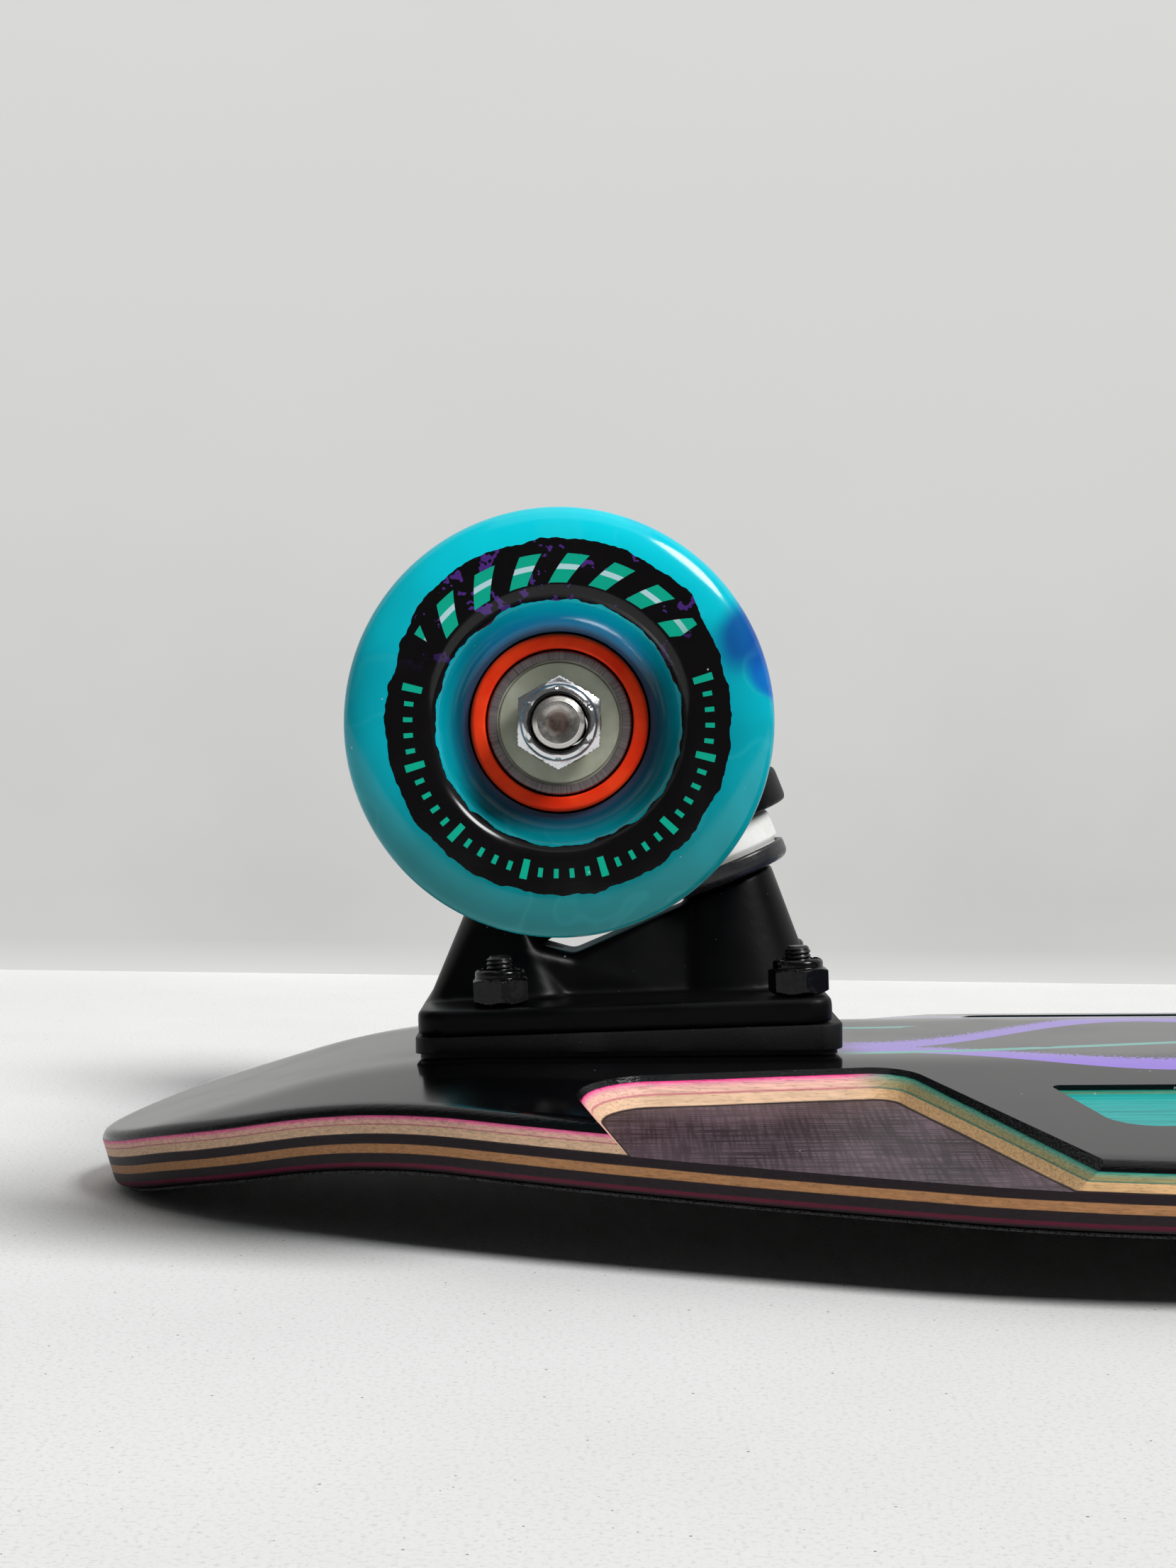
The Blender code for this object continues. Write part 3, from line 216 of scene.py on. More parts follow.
def solid_of(grid, around=True, closed=False):
    """A bmesh over a grid of points: each row joins the next, each point the next in its row, the last point
    of a row its first if around, and the last row the first if closed. Points that meet are merged."""
    rows, columns = grid.shape[:2]
    index = np.arange(rows * columns).reshape(rows, columns)
    if around:
        index = np.concatenate([index, index[:, :1]], axis=1)
    if closed:
        index = np.concatenate([index, index[:1]], axis=0)
    quads = np.stack([index[:-1, :-1], index[:-1, 1:], index[1:, 1:], index[1:, :-1]], axis=-1).reshape(-1, 4)
    mesh = bpy.data.meshes.new("work")
    mesh.from_pydata(grid.reshape(-1, 3).tolist(), [], quads.tolist())
    bm = bmesh.new()
    bm.from_mesh(mesh)
    bpy.data.meshes.remove(mesh)
    bmesh.ops.remove_doubles(bm, verts=bm.verts, dist=2e-7)
    if bm.calc_volume(signed=True) < 0:
        bmesh.ops.reverse_faces(bm, faces=bm.faces)
    return bm


def joined(solids):
    """Several bmeshes as one, not merged."""
    whole = bmesh.new()
    for solid in solids:
        mesh = bpy.data.meshes.new("work")
        solid.to_mesh(mesh)
        solid.free()
        whole.from_mesh(mesh)
        bpy.data.meshes.remove(mesh)
    return whole


def shaped(bm, *modifiers, cutters=None):
    """The bmesh after these modifiers, given as (kind, settings), and after the cutters are taken from
    it."""
    work = bpy.data.objects.new("work", bpy.data.meshes.new("work"))
    bm.to_mesh(work.data)
    bm.free()
    bpy.context.scene.collection.objects.link(work)
    for kind, settings in modifiers:
        modifier = work.modifiers.new(kind, kind)
        for name, value in settings.items():
            setattr(modifier, name, value)
    tool = None
    if cutters:
        tool = bpy.data.objects.new("tool", bpy.data.meshes.new("tool"))
        joined(cutters).to_mesh(tool.data)
        bpy.context.scene.collection.objects.link(tool)
        cut = work.modifiers.new("cut", "BOOLEAN")
        cut.operation = "DIFFERENCE"
        cut.object = tool
    result = bmesh.new()
    result.from_object(work, bpy.context.evaluated_depsgraph_get())
    for spare in filter(None, (work, tool)):
        bpy.data.objects.remove(spare, do_unlink=True)
    bmesh.ops.remove_doubles(result, verts=result.verts, dist=5e-7)
    return result


def points_of(mesh):
    """A mesh's points as an array."""
    flat = np.empty(len(mesh.vertices) * 3)
    mesh.vertices.foreach_get("co", flat)
    return flat.reshape(-1, 3)


def piece(name, bm, place, finish, body, nodes=(), press=None, rim=None):
    """Makes a finished object in its place in the shared frame. Its points in its own frame stay in the
    attribute 'own', which its material reads, and press carries them to their pressed shape first. A rim
    function of the points gives the attribute 'rim'."""
    mesh = bpy.data.meshes.new(name)
    bm.to_mesh(mesh)
    bm.free()
    own = points_of(mesh)
    mesh.attributes.new("own", "FLOAT_VECTOR", "POINT").data.foreach_set("vector", own.ravel())
    if rim:
        mesh.attributes.new("rim", "FLOAT", "POINT").data.foreach_set("value", rim(own))
    shaped_points = own if press is None else press(own)
    turn = np.array(place.to_3x3())
    mesh.vertices.foreach_set("co", (shaped_points @ turn.T + np.array(place.translation)).ravel())
    mesh.shade_smooth()
    mesh.set_sharp_from_angle(angle=SHARP_EDGE)
    mesh.materials.append(finish)
    made = bpy.data.objects.new(name, mesh)
    bpy.context.scene.collection.objects.link(made)
    if nodes:
        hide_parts(*nodes)
    if isinstance(body, str):
        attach(made, body)
    else:
        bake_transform(made)


def pressed(points):
    """The blank's points carried to the mould: each end bends round an arc and runs on straight, and both
    sides dish down with a parabola that runs into a slope."""
    s, y, depth = points[:, 0], points[:, 1], -points[:, 2]
    past = np.abs(y) - FLAT_HALF_WIDTH
    depth = depth + tan(DISH_ANGLE) * np.where(
        past > DISH_BLEND, past - DISH_BLEND / 2, np.maximum(past, 0.0) ** 2 / 2 / DISH_BLEND)
    past = np.maximum(np.abs(s) - KICK_X, 0.0)
    angle = np.minimum(past / KICK_RADIUS, KICK_ANGLE)
    straight = past - angle * KICK_RADIUS
    reach = np.minimum(np.abs(s), KICK_X) + KICK_RADIUS * np.sin(angle)
    x = np.sign(s) * (reach + straight * np.cos(angle) - depth * np.sin(angle))
    z = -KICK_RADIUS * (1 - np.cos(angle)) - straight * np.sin(angle) - depth * np.cos(angle)
    return np.column_stack([x, y, z])


def rounded_corners(corners, radii, steps):
    """A closed outline whose corners are arcs, each given by where the circle touches both sides."""
    corners = np.array(corners, float)
    arcs = []
    for corner, before, after, radius in zip(corners, np.roll(corners, 1, 0), np.roll(corners, -1, 0), radii):
        if not radius:
            arcs.append(corner[None])
            continue
        back = (before - corner) / np.linalg.norm(before - corner)
        ahead = (after - corner) / np.linalg.norm(after - corner)
        half = np.arccos(np.clip(back @ ahead, -1, 1)) / 2
        middle = corner + (back + ahead) / np.linalg.norm(back + ahead) * radius / np.sin(half)
        first, last = [corner + side * radius / np.tan(half) - middle for side in (back, ahead)]
        share = np.linspace(0.0, 1.0, steps + 1)[:, None]
        spokes = first * (1 - share) + last * share
        arcs.append(middle + spokes / np.linalg.norm(spokes, axis=1, keepdims=True) * radius)
    return np.concatenate(arcs)


def spaced(section, longest, closed):
    """A section with points added, so that no two neighbours are further apart than this."""
    ends = np.roll(section, -1, axis=0) if closed else section[1:]
    rows = []
    for start, stop in zip(section, ends):
        count = max(int(np.ceil(np.linalg.norm(stop - start) / longest)), 1)
        rows.append(start + (stop - start) * np.linspace(0.0, 1.0, count, endpoint=False)[:, None])
    return np.concatenate(rows if closed else [*rows, section[-1:]])


def lathe(section, radii=None, steps=96, hollow=False, flats=0.0, longest=0.0, thread=None, crimp=None):
    """A closed solid of revolution about z: a section of (radius, height) points with rounded corners,
    swept round. With flats, the radius stops at a hexagon this wide. A thread (low, high, pitch, depth)
    takes a triangle wave off the radius that climbs one pitch in a turn. A crimp (low, depth, angle) presses
    six dents, each a bell curve this wide, into what stands above low. A hollow section closes on itself."""
    rows = rounded_corners(section, radii or [0.0] * len(section), 5)
    if longest:
        rows = spaced(rows, longest, hollow)
    turn = np.linspace(0.0, 2 * pi, steps, endpoint=False)
    radius = np.repeat(rows[:, :1], steps, axis=1)
    height = np.repeat(rows[:, 1:], steps, axis=1)
    if thread:
        low, high, pitch, depth = thread
        dip = np.abs(2 * ((height / pitch - turn / (2 * pi)) % 1.0) - 1)
        fade = np.clip(np.minimum(height - low, high - height) / pitch + 0.5, 0.0, 1.0)
        radius = np.maximum(radius - depth * dip * fade * (radius > 2 * depth), 0.0)
    if flats:
        radius = np.minimum(radius, flats / 2 / np.cos((turn + pi / 6) % (pi / 3) - pi / 6))
    if crimp:
        low, depth, angle = crimp
        dent = depth * np.exp(-((turn % (pi / 3) - pi / 6) / angle) ** 2) * (height > low)
        radius, height = radius - dent * 0.5, height - dent
    return solid_of(np.stack([radius * np.cos(turn), radius * np.sin(turn), height], axis=-1), closed=hollow)


def moved(bm, matrix):
    """The bmesh carried by a matrix."""
    bm.transform(matrix)
    return bm


def near_edge(points):
    """1 on the deck's rounded outer edge and 0 further in, so that its paint can wrap that edge."""
    inset = half_width(points[:, 0]) - np.abs(points[:, 1])
    return np.clip((EDGE_ROUND * 1.5 - inset) / (EDGE_ROUND * 0.4), 0.0, 1.0)


def router_cut(corners, radii, profile, steps=10):
    """A router's cut: the outline of the cut, carried down a profile of (inset, height) pairs."""
    outline = rounded_corners(corners, radii, steps)
    grid = slab(outline, np.repeat(outline.mean(axis=0)[None], len(outline), axis=0), profile, 1)
    return solid_of(grid)


def well_profile():
    """A well's wall from above the face to its floor: a slope that ends in a cove."""
    lean = np.arctan2(WELL_WALL_SLOPE, WELL_DEPTH)
    bend = pi / 2 - lean
    reach = WELL_COVE * tan(bend / 2)
    foot = (WELL_WALL_SLOPE, -WELL_DEPTH)
    rows = [(-WELL_WALL_SLOPE * CUT_PAST / WELL_DEPTH, CUT_PAST)]
    for share in np.linspace(0.0, 1.0, 7):
        before = np.array([foot[0] - reach * sin(lean), foot[1] + reach * cos(lean)])
        after = np.array([foot[0] + reach, foot[1]])
        rows.append(before * (1 - share) ** 2 + 2 * share * (1 - share) * np.array(foot) + after * share**2)
    return rows


def bolt_depth(end, s):
    """From the baseplate's underside at a bolt down to the face of the grip, along the bolt."""
    in_board = board_place.inverted() @ truck_places[end]
    return ((in_board @ Vector((s, 0.0, 0.0))).z + GRIP_DEPTH) / in_board.col[2].z


def bolt_holes(place):
    """Cutters for the eight bolts in a piece's frame: a hole for the shank, countersunk from the grip
    side."""
    cutters = []
    wide, slim = BOLT_HEAD_RADIUS + FIT_GAP, BOLT_RADIUS + FIT_GAP
    for end in ENDS:
        for s, y in bolt_spots:
            depth = bolt_depth(end, s)
            section = [(0.0, -depth - CUT_PAST), (wide, -depth - CUT_PAST), (wide, -depth),
                       (slim, BOLT_HEAD_HEIGHT - depth), (slim, CUT_PAST), (0.0, CUT_PAST)]
            spot = truck_places[end] @ Matrix.Translation((s, y, 0.0))
            cutters.append(moved(lathe(section, steps=40), place.inverted() @ spot))
    return cutters


def deck_cutters():
    """The four wheel wells and the two side windows, in the flat blank."""
    cutters = []
    for side in SIDES.values():
        for end in ENDS.values():
            corners = [(end * (TRUCK_X - x), side * y) for x, y in WELL_CORNERS]
            cutters.append(router_cut(corners, WELL_CORNER_RADII, well_profile()))
        near, far = [[(end * (TRUCK_X - x), side * y) for x, y in WINDOW_CORNERS] for end in ENDS.values()]
        radii = WINDOW_CORNER_RADII + WINDOW_CORNER_RADII[::-1]
        window = [(0.0, CUT_PAST), (0.0, -WINDOW_DEPTH)]
        cutters.append(router_cut([near[0], near[1], far[1], far[0]], radii, window, 8))
    return cutters


def add_node(tree, kind, inputs=None, **settings):
    """A shader node; inputs gives each socket, by name or number, a value or another node's output."""
    made = tree.nodes.new("ShaderNode" + kind)
    for name, value in settings.items():
        setattr(made, name, value)
    for socket, value in (inputs or {}).items():
        if isinstance(value, bpy.types.NodeSocket):
            tree.links.new(value, made.inputs[socket])
        else:
            made.inputs[socket].default_value = value
    return made


def figure(tree, operation, a, b=0.0, c=0.0):
    """The output of a Math node."""
    return add_node(tree, "Math", {0: a, 1: b, 2: c}, operation=operation).outputs[0]


def times(tree, a, b):
    """One value times another."""
    return figure(tree, "MULTIPLY", a, b)


def plus(tree, a, b):
    """One value plus another."""
    return figure(tree, "ADD", a, b)


def less(tree, a, b):
    """One value less another."""
    return figure(tree, "SUBTRACT", a, b)


def blend_of(tree, share, a, b, mode="MIX"):
    """The output of a colour Mix node."""
    return add_node(tree, "Mix", {0: share, 6: a, 7: b}, data_type="RGBA", blend_type=mode).outputs[2]


def between(tree, value, low, high, to_low=0.0, to_high=1.0):
    """A value mapped from one range to another, smoothly and no further."""
    inputs = {0: value, 1: low, 2: high, 3: to_low, 4: to_high}
    return add_node(tree, "MapRange", inputs, interpolation_type="SMOOTHSTEP").outputs[0]


def shade(red, green, blue):
    """A colour of the screen's 0 to 255 steps as the light that it stands for."""
    steps = np.array([red, green, blue]) / 255
    light = np.where(steps < 0.04045, steps / 12.92, ((steps + 0.055) / 1.055) ** 2.4)
    return (*[float(value) for value in light], 1.0)


def bands(tree, value, stops):
    """A colour ramp over (place, colour) stops."""
    made = add_node(tree, "ValToRGB", {0: value})
    ramp = made.color_ramp
    while len(ramp.elements) < len(stops):
        ramp.elements.new(0.5)
    for element, (spot, colour) in zip(ramp.elements, stops):
        element.position = spot
        element.color = colour
    return made.outputs[0]


def noise(tree, vector, scale, detail=2.0, roughness=0.5):
    """The value of a noise that has this many waves to a metre."""
    inputs = {"Vector": vector, "Scale": scale, "Detail": detail, "Roughness": roughness}
    return add_node(tree, "TexNoise", inputs).outputs[0]


def stretched(tree, vector, x, y, z):
    """A vector with each axis scaled."""
    return add_node(tree, "VectorMath", {0: vector, 1: (x, y, z)}, operation="MULTIPLY").outputs[0]


def new_finish(name):
    """A material with an empty Principled shader: the tree, the shader and the piece's own coordinates."""
    made = bpy.data.materials.new(name)
    made.use_nodes = True
    tree = made.node_tree
    own = add_node(tree, "Attribute", attribute_name="own").outputs["Vector"]
    return made, tree, tree.nodes["Principled BSDF"], own


def bumped(tree, strength, distance, height):
    """The normal of a surface that a height roughens."""
    return add_node(tree, "Bump", {"Strength": strength, "Distance": distance, "Height": height}).outputs[0]


def set_shader(tree, shader, values):
    """Gives the shader's sockets, by name, a value or another node's output."""
    for socket, value in values.items():
        if isinstance(value, bpy.types.NodeSocket):
            tree.links.new(value, shader.inputs[socket])
        else:
            shader.inputs[socket].default_value = value


def new_group(name, inputs, outputs):
    """A shader node group with these sockets: its tree, its input node and its output node."""
    tree = bpy.data.node_groups.new(name, "ShaderNodeTree")
    for label, kind in inputs.items():
        tree.interface.new_socket(label, in_out="INPUT", socket_type="NodeSocket" + kind)
    for label, kind in outputs.items():
        tree.interface.new_socket(label, in_out="OUTPUT", socket_type="NodeSocket" + kind)
    return tree, tree.nodes.new("NodeGroupInput"), tree.nodes.new("NodeGroupOutput")


def build_dust_group():
    """Pale specks of dust: round cells of unlike size, kept where a cell's own colour is bright enough."""
    tree, start, end = new_group("dust specks", {"Vector": "Vector", "Scale": "Float", "Amount": "Float"},
                                 {"Mask": "Float"})
    cells = add_node(tree, "TexVoronoi", {"Vector": start.outputs["Vector"], "Scale": start.outputs["Scale"]})
    parts = add_node(tree, "SeparateColor", {0: cells.outputs["Color"]})
    size = times(tree, parts.outputs[1], 0.16)
    speck = figure(tree, "LESS_THAN", cells.outputs["Distance"], size)
    kept = figure(tree, "LESS_THAN", parts.outputs[0], start.outputs["Amount"])
    tree.links.new(times(tree, speck, kept), end.inputs["Mask"])
    return tree


dust_specks = build_dust_group()


def specks(tree, vector, scale, amount):
    """The mask of the dust specks group."""
    made = add_node(tree, "Group", node_tree=dust_specks)
    for name, value in (("Vector", vector), ("Scale", scale), ("Amount", amount)):
        if isinstance(value, bpy.types.NodeSocket):
            tree.links.new(value, made.inputs[name])
        else:
            made.inputs[name].default_value = value
    return made.outputs["Mask"]


def build_deck_finish():
    """Lacquered plies: bands of colour by the depth in the blank, grain along each ply, print on the
    face."""
    made, tree, shader, own = new_finish("deck_plies")
    along, across, height = add_node(tree, "SeparateXYZ", {0: own}).outputs
    depth = times(tree, height, -1.0 / DECK_THICKNESS)
    waver = noise(tree, stretched(tree, own, 60, 60, 300), 1.0, 3.0)
    depth_seen = figure(tree, "MULTIPLY_ADD", less(tree, waver, 0.5), 0.020, depth)
    rim = add_node(tree, "Attribute", attribute_name="rim").outputs["Fac"]
    thin = times(tree, less(tree, 1.0, rim), between(tree, depth, 0.10, 0.30, 0.050, 0.0))
    depth_seen = plus(tree, depth_seen, thin)
    # brown stands for a maple ply darkened as painted shade.
    black, dark, brown = shade(9, 9, 11), shade(34, 23, 29), shade(186, 134, 90)

    def ply_stops(line, stained, dyed, seam, third):
        """The stops of one end's plies: black face, a dyed ply that fades down to a seam, maple, then dark
        and brown in turn and a crimson line above the back. The brown is a maple ply darkened as painted
        shade."""
        return [
            (0.0, black), (0.132, black), (0.140, line), (0.168, stained), (0.215, dyed), (0.252, dyed),
            (0.262, seam), (0.272, seam), (0.282, third), (0.402, third), (0.416, dark), (0.560, dark),
            (0.574, brown), (0.700, brown), (0.714, dark), (0.850, dark),
            (0.864, shade(104, 4, 48)), (0.915, shade(84, 4, 40)), (0.945, shade(22, 8, 14)),
        ]

    nose = bands(tree, depth_seen, ply_stops(
        shade(255, 60, 150), shade(252, 140, 172), shade(248, 194, 176), shade(210, 132, 132),
        shade(236, 196, 162)))
    waist = bands(tree, depth_seen, ply_stops(
        shade(30, 150, 134), shade(120, 176, 146), shade(176, 168, 120), shade(96, 140, 116),
        shade(240, 194, 140)))
    reach = figure(tree, "ABSOLUTE", along)
    edge = figure(tree, "MULTIPLY_ADD", less(tree, noise(tree, own, 30.0), 0.5), 0.02, reach)
    near, far = [TRUCK_X - back for back in DYE_CHANGE]
    plies = blend_of(tree, between(tree, edge, near, far), waist, nose)

    fibre = noise(tree, stretched(tree, own, 90, 1600, 2600), 1.0, 3.0, 0.65)
    pores = noise(tree, stretched(tree, own, 420, 2600, 3400), 1.0, 2.0, 0.6)
    tone = times(tree, between(tree, fibre, 0.30, 0.70, 0.82, 1.10),
                 between(tree, pores, 0.32, 0.46, 0.74, 1.0))
    toned = blend_of(tree, 1.0, plies, add_node(tree, "CombineColor", {0: tone, 1: tone, 2: tone}).outputs[0],
                     "MULTIPLY")

    long_lines = noise(tree, stretched(tree, own, 60, 1500, 0), 1.0, 1.0)
    cross_lines = noise(tree, stretched(tree, own, 1500, 60, 0), 1.0, 1.0)
    cloud = noise(tree, own, 55.0, 3.0)
    weave = times(tree, between(tree, long_lines, 0.38, 0.62),
                  between(tree, cross_lines, 0.38, 0.62, 0.15, 1.0))
    weave = figure(tree, "MULTIPLY_ADD", between(tree, cloud, 0.35, 0.7), 0.45, times(tree, weave, 0.6))
    floor_tone = blend_of(tree, weave, shade(34, 24, 31), shade(106, 88, 98))
    on_floor = figure(tree, "COMPARE", depth, WELL_DEPTH / DECK_THICKNESS, 0.0012)
    body = blend_of(tree, on_floor, toned, floor_tone)

    window = figure(tree, "COMPARE", depth, WINDOW_DEPTH / DECK_THICKNESS, 0.0012)
    window_grain = between(tree, noise(tree, stretched(tree, own, 30, 700, 0), 1.0, 3.0), 0.35, 0.65)
    dyed = blend_of(tree, window_grain, shade(16, 150, 148), shade(40, 182, 178))
    body = blend_of(tree, window, body, dyed)

    def stroke(middle, sway, waves, phase, width):
        """How far across one brush stroke a point lies, 0 on its clean edge and 1 on its far edge: the edge
        sways as a sine along the board, and the width is in metres."""
        swing = figure(tree, "SINE", figure(tree, "MULTIPLY_ADD", along, waves * 2 * pi, phase))
        edge = figure(tree, "MULTIPLY_ADD", swing, sway, middle)
        return figure(tree, "DIVIDE", less(tree, across, edge), width)

    grit = noise(tree, own, 1300.0, 1.0)
    lacquer = black
    clear = between(tree, reach, *PRINT_END, 1.0, 0.0)
    for sizes in ((-0.0305, 0.0095, 8.86, -0.755, 0.013), (0.004, 0.020, 8.7, 2.0, 0.013),
                  (0.044, 0.011, 5.1, 1.2, 0.012)):
        share = stroke(*sizes)
        spray = figure(tree, "GREATER_THAN", grit, between(tree, share, 0.35, 1.0, 0.2, 0.72))
        inside = figure(tree, "COMPARE", share, 0.5, 0.5)
        paint = times(tree, times(tree, spray, inside), clear)
        lacquer = blend_of(tree, paint, lacquer, shade(146, 110, 226))
    for sizes in ((-0.014, 0.010, 4.3, 3.6, 0.0030), (0.024, 0.009, 7.1, 0.2, 0.0024)):
        share = stroke(*sizes)
        gap = figure(tree, "GREATER_THAN", noise(tree, own, 21.0, 1.0), 0.45)
        inside = times(tree, figure(tree, "COMPARE", share, 0.5, 0.5), gap)
        lacquer = blend_of(tree, times(tree, inside, clear), lacquer, shade(64, 178, 164))
    on_face = figure(tree, "LESS_THAN", depth, 0.004)
    body = blend_of(tree, on_face, body, lacquer)

    dust = specks(tree, own, 520.0, 0.035)
    colour = blend_of(tree, times(tree, dust, 0.55), body, shade(206, 206, 204))
    smear = noise(tree, own, 45.0, 3.0)
    rough = plus(tree, between(tree, depth, 0.10, 0.16, 0.10, 0.46),
                 between(tree, smear, 0.4, 0.75, 0.0, 0.07))
    rough = plus(tree, rough, times(tree, dust, 0.4))
    relief = times(tree, less(tree, 1.0, on_face), tone)
    bump = bumped(tree, 0.35, 0.00025, relief)
    set_shader(tree, shader, {"Base Color": colour, "Roughness": rough, "Normal": bump,
                              "Specular IOR Level": 0.25})
    return made


outline = deck_outline()
spine = np.column_stack([np.clip(outline[:, 0], NOSE_S + TIP_FAN, TAIL_S - TIP_FAN), np.zeros(len(outline))])
round_edge = quarter(EDGE_ROUND, 6)
deck_profile = [(inset, -drop) for inset, drop in round_edge]
deck_profile += [(inset, drop - DECK_THICKNESS) for inset, drop in round_edge[::-1]]
bolt_spots = [(s, y) for s in (-BOLT_TO_AXLE, BOLT_SPACING_LONG - BOLT_TO_AXLE)
              for y in (-BOLT_SPACING_WIDE / 2, BOLT_SPACING_WIDE / 2)]
deck_bm = shaped(solid_of(slab(outline, spine, deck_profile, FACE_STEPS)),
                 cutters=deck_cutters() + bolt_holes(board_place))
piece("deck_panel", deck_bm, board_place, build_deck_finish(), "board", ["deck"], pressed,
      near_edge)

# Grip: one sheet of black abrasive film, glued over the whole standing side and trimmed just inside the
# rounded edge. The bolt heads sit in holes punched through it.
GRIP_THICKNESS = 0.0006
GRIP_EDGE = 0.0002


def build_grip_finish():
    """Grit in black resin: fine bright grains on near black, a rough bump and slightly greyer patches."""
    made, tree, shader, own = new_finish("grip_grit")
    cells = add_node(tree, "TexVoronoi", {"Vector": own, "Scale": 2300.0})
    grain = between(tree, cells.outputs["Distance"], 0.05, 0.55, 1.0, 0.0)
    sparkle = specks(tree, own, 1900.0, 0.10)
    wear = between(tree, noise(tree, own, 16.0, 4.0), 0.45, 0.75)
    base = blend_of(tree, wear, shade(20, 21, 23), shade(36, 37, 39))
    colour = blend_of(tree, times(tree, sparkle, 0.7), base, shade(140, 146, 150))
    bump = bumped(tree, 0.9, 0.0003, grain)
    set_shader(tree, shader, {
        "Base Color": colour, "Roughness": figure(tree, "MULTIPLY_ADD", grain, 0.25, 0.55), "Normal": bump})
    return made


grip_top = DECK_THICKNESS + FIT_GAP
grip_round = quarter(GRIP_EDGE, 2)
grip_profile = [(EDGE_ROUND + inset, -grip_top - drop) for inset, drop in grip_round]
grip_profile += [(EDGE_ROUND + inset, drop - grip_top - GRIP_THICKNESS) for inset, drop in grip_round[::-1]]
grip_bm = shaped(solid_of(slab(outline, spine, grip_profile, FACE_STEPS)), cutters=bolt_holes(board_place))
piece("grip_sheet", grip_bm, board_place, build_grip_finish(), "board", ["grip_tape"], pressed)

# Risers: a moulded rubber wedge under each truck, thicker towards the middle of the board, standing on a
# foot that is set in a little all round. The truck's four bolts clamp it.
RISER_LENGTH = 0.0768
RISER_HALF_WIDTH = 0.0275
RISER_OUTER_END = 0.0286
RISER_OUTER_HEIGHT = 0.0037
RISER_INNER_HEIGHT = 0.00585
RISER_FOOT = 0.0009
RISER_EDGE = 0.0004
PAD_CORNER_RADIUS = 0.004


def build_rubber_finish():
    """Matt black rubber: moulded grain, pale dust and a greyer bloom in patches."""
    made, tree, shader, own = new_finish("riser_rubber")
    bloom = between(tree, noise(tree, own, 70.0, 4.0), 0.42, 0.72)
    base = blend_of(tree, bloom, shade(7, 7, 8), shade(15, 15, 16))
    dust = figure(tree, "MAXIMUM", specks(tree, own, 900.0, 0.05), specks(tree, own, 2600.0, 0.03))
    colour = blend_of(tree, times(tree, dust, 0.6), base, shade(170, 170, 168))
    bump = bumped(tree, 0.5, 0.0001, noise(tree, own, 2200.0, 2.0))
    set_shader(tree, shader, {"Base Color": colour, "Roughness": between(tree, bloom, 0.0, 1.0, 0.50, 0.66),
                              "Normal": bump, "Specular IOR Level": 0.25})
    return made


def riser_pad():
    """The wedge: a slab whose height above the foot is scaled along the pad to lean its top, and whose foot
    gives way, the lower the more, where the kick falls away below it."""
    outer, inner, wide = -RISER_OUTER_END, RISER_LENGTH - RISER_OUTER_END, RISER_HALF_WIDTH
    corners = [(outer, -wide), (inner, -wide), (inner, wide), (outer, wide)]
    outline = rounded_corners(corners, [PAD_CORNER_RADIUS] * 4, 10)
    profile = [(inset, RISER_INNER_HEIGHT - drop) for inset, drop in quarter(RISER_EDGE, 3)]
    profile += [(inset, RISER_FOOT + FIT_GAP + drop) for inset, drop in quarter(RISER_EDGE / 2, 2)[::-1]]
    profile += [(RISER_FOOT, RISER_FOOT + FIT_GAP), (RISER_FOOT, FIT_GAP)]
    grid = slab(outline, np.zeros((len(outline), 2)), profile, 6)
    lean = (RISER_INNER_HEIGHT - RISER_OUTER_HEIGHT) / RISER_LENGTH
    top = RISER_OUTER_HEIGHT + (grid[..., 0] - outer) * lean
    base = RISER_FOOT + FIT_GAP
    share = np.maximum(grid[..., 2] - base, 0.0) / (RISER_INNER_HEIGHT - base)
    past_kick = np.maximum(TRUCK_X - KICK_X - grid[..., 0], 0.0)
    fall = (KICK_RADIUS - np.sqrt(KICK_RADIUS**2 - past_kick**2)) * (1 - share)
    grid[..., 2] = np.minimum(grid[..., 2], base) + share * (top - base) - fall
    return solid_of(grid)


riser_finish = build_rubber_finish()
for end, side in ENDS.items():
    place = board_place @ Matrix.Translation((side * TRUCK_X, 0.0, 0.0))
    place = place @ Matrix.Rotation(pi * (side > 0), 4, "Z")
    pad = shaped(riser_pad(), cutters=bolt_holes(place))
    piece(end + "_riser_wedge", pad, place, riser_finish, "board", [end + "_riser"])

# Baseplates: cast aluminium in satin black paint. Each has a bolted plate, the housing of the pivot cup at
# its outer end and the kingpin's boss at its inner end, with a rib and a web between them that make a
# notch. The four holes are spot faced.
PLATE_OUTER = 0.0281
PLATE_INNER = 0.0465
PLATE_HALF_WIDTH = 0.0275
PLATE_THICKNESS = 0.0045
CAST_EDGE = 0.0008
CAST_VOXEL = 0.00055
KINGPIN_LEAN = radians(20.1)
KINGPIN_FOOT = 0.0385
KINGPIN_RADIUS = 0.00476
KINGPIN_FLATS = 0.0143
KINGPIN_HEAD_HEIGHT = 0.0058
BOSS_HEIGHT = 0.0260
BOSS_RADIUS = 0.0088
BOSS_SKIRT_RADIUS = 0.0130
BOSS_SKIRT_SHIFT = 0.0071
BOSS_SKIRT_STRETCH = 1.15
HOUSING_RADIUS = 0.0095
HOUSING_MOUTH = 0.0390
HOUSING_FLARE = 0.0040
HOUSING_FOOT_END = 0.0010
RIB_HALF_WIDTH = 0.0095
RIB_HEIGHT = 0.0150
RIB_FLARE = 1.20
RIB_SHOULDER = 0.0030
FOOT_ROUND = 0.0070
NOTCH_HEIGHT = 0.0122
NOTCH_X = 0.0003
WEB_REACH = 0.0075
WEB_CREST_HALF_WIDTH = 0.0050
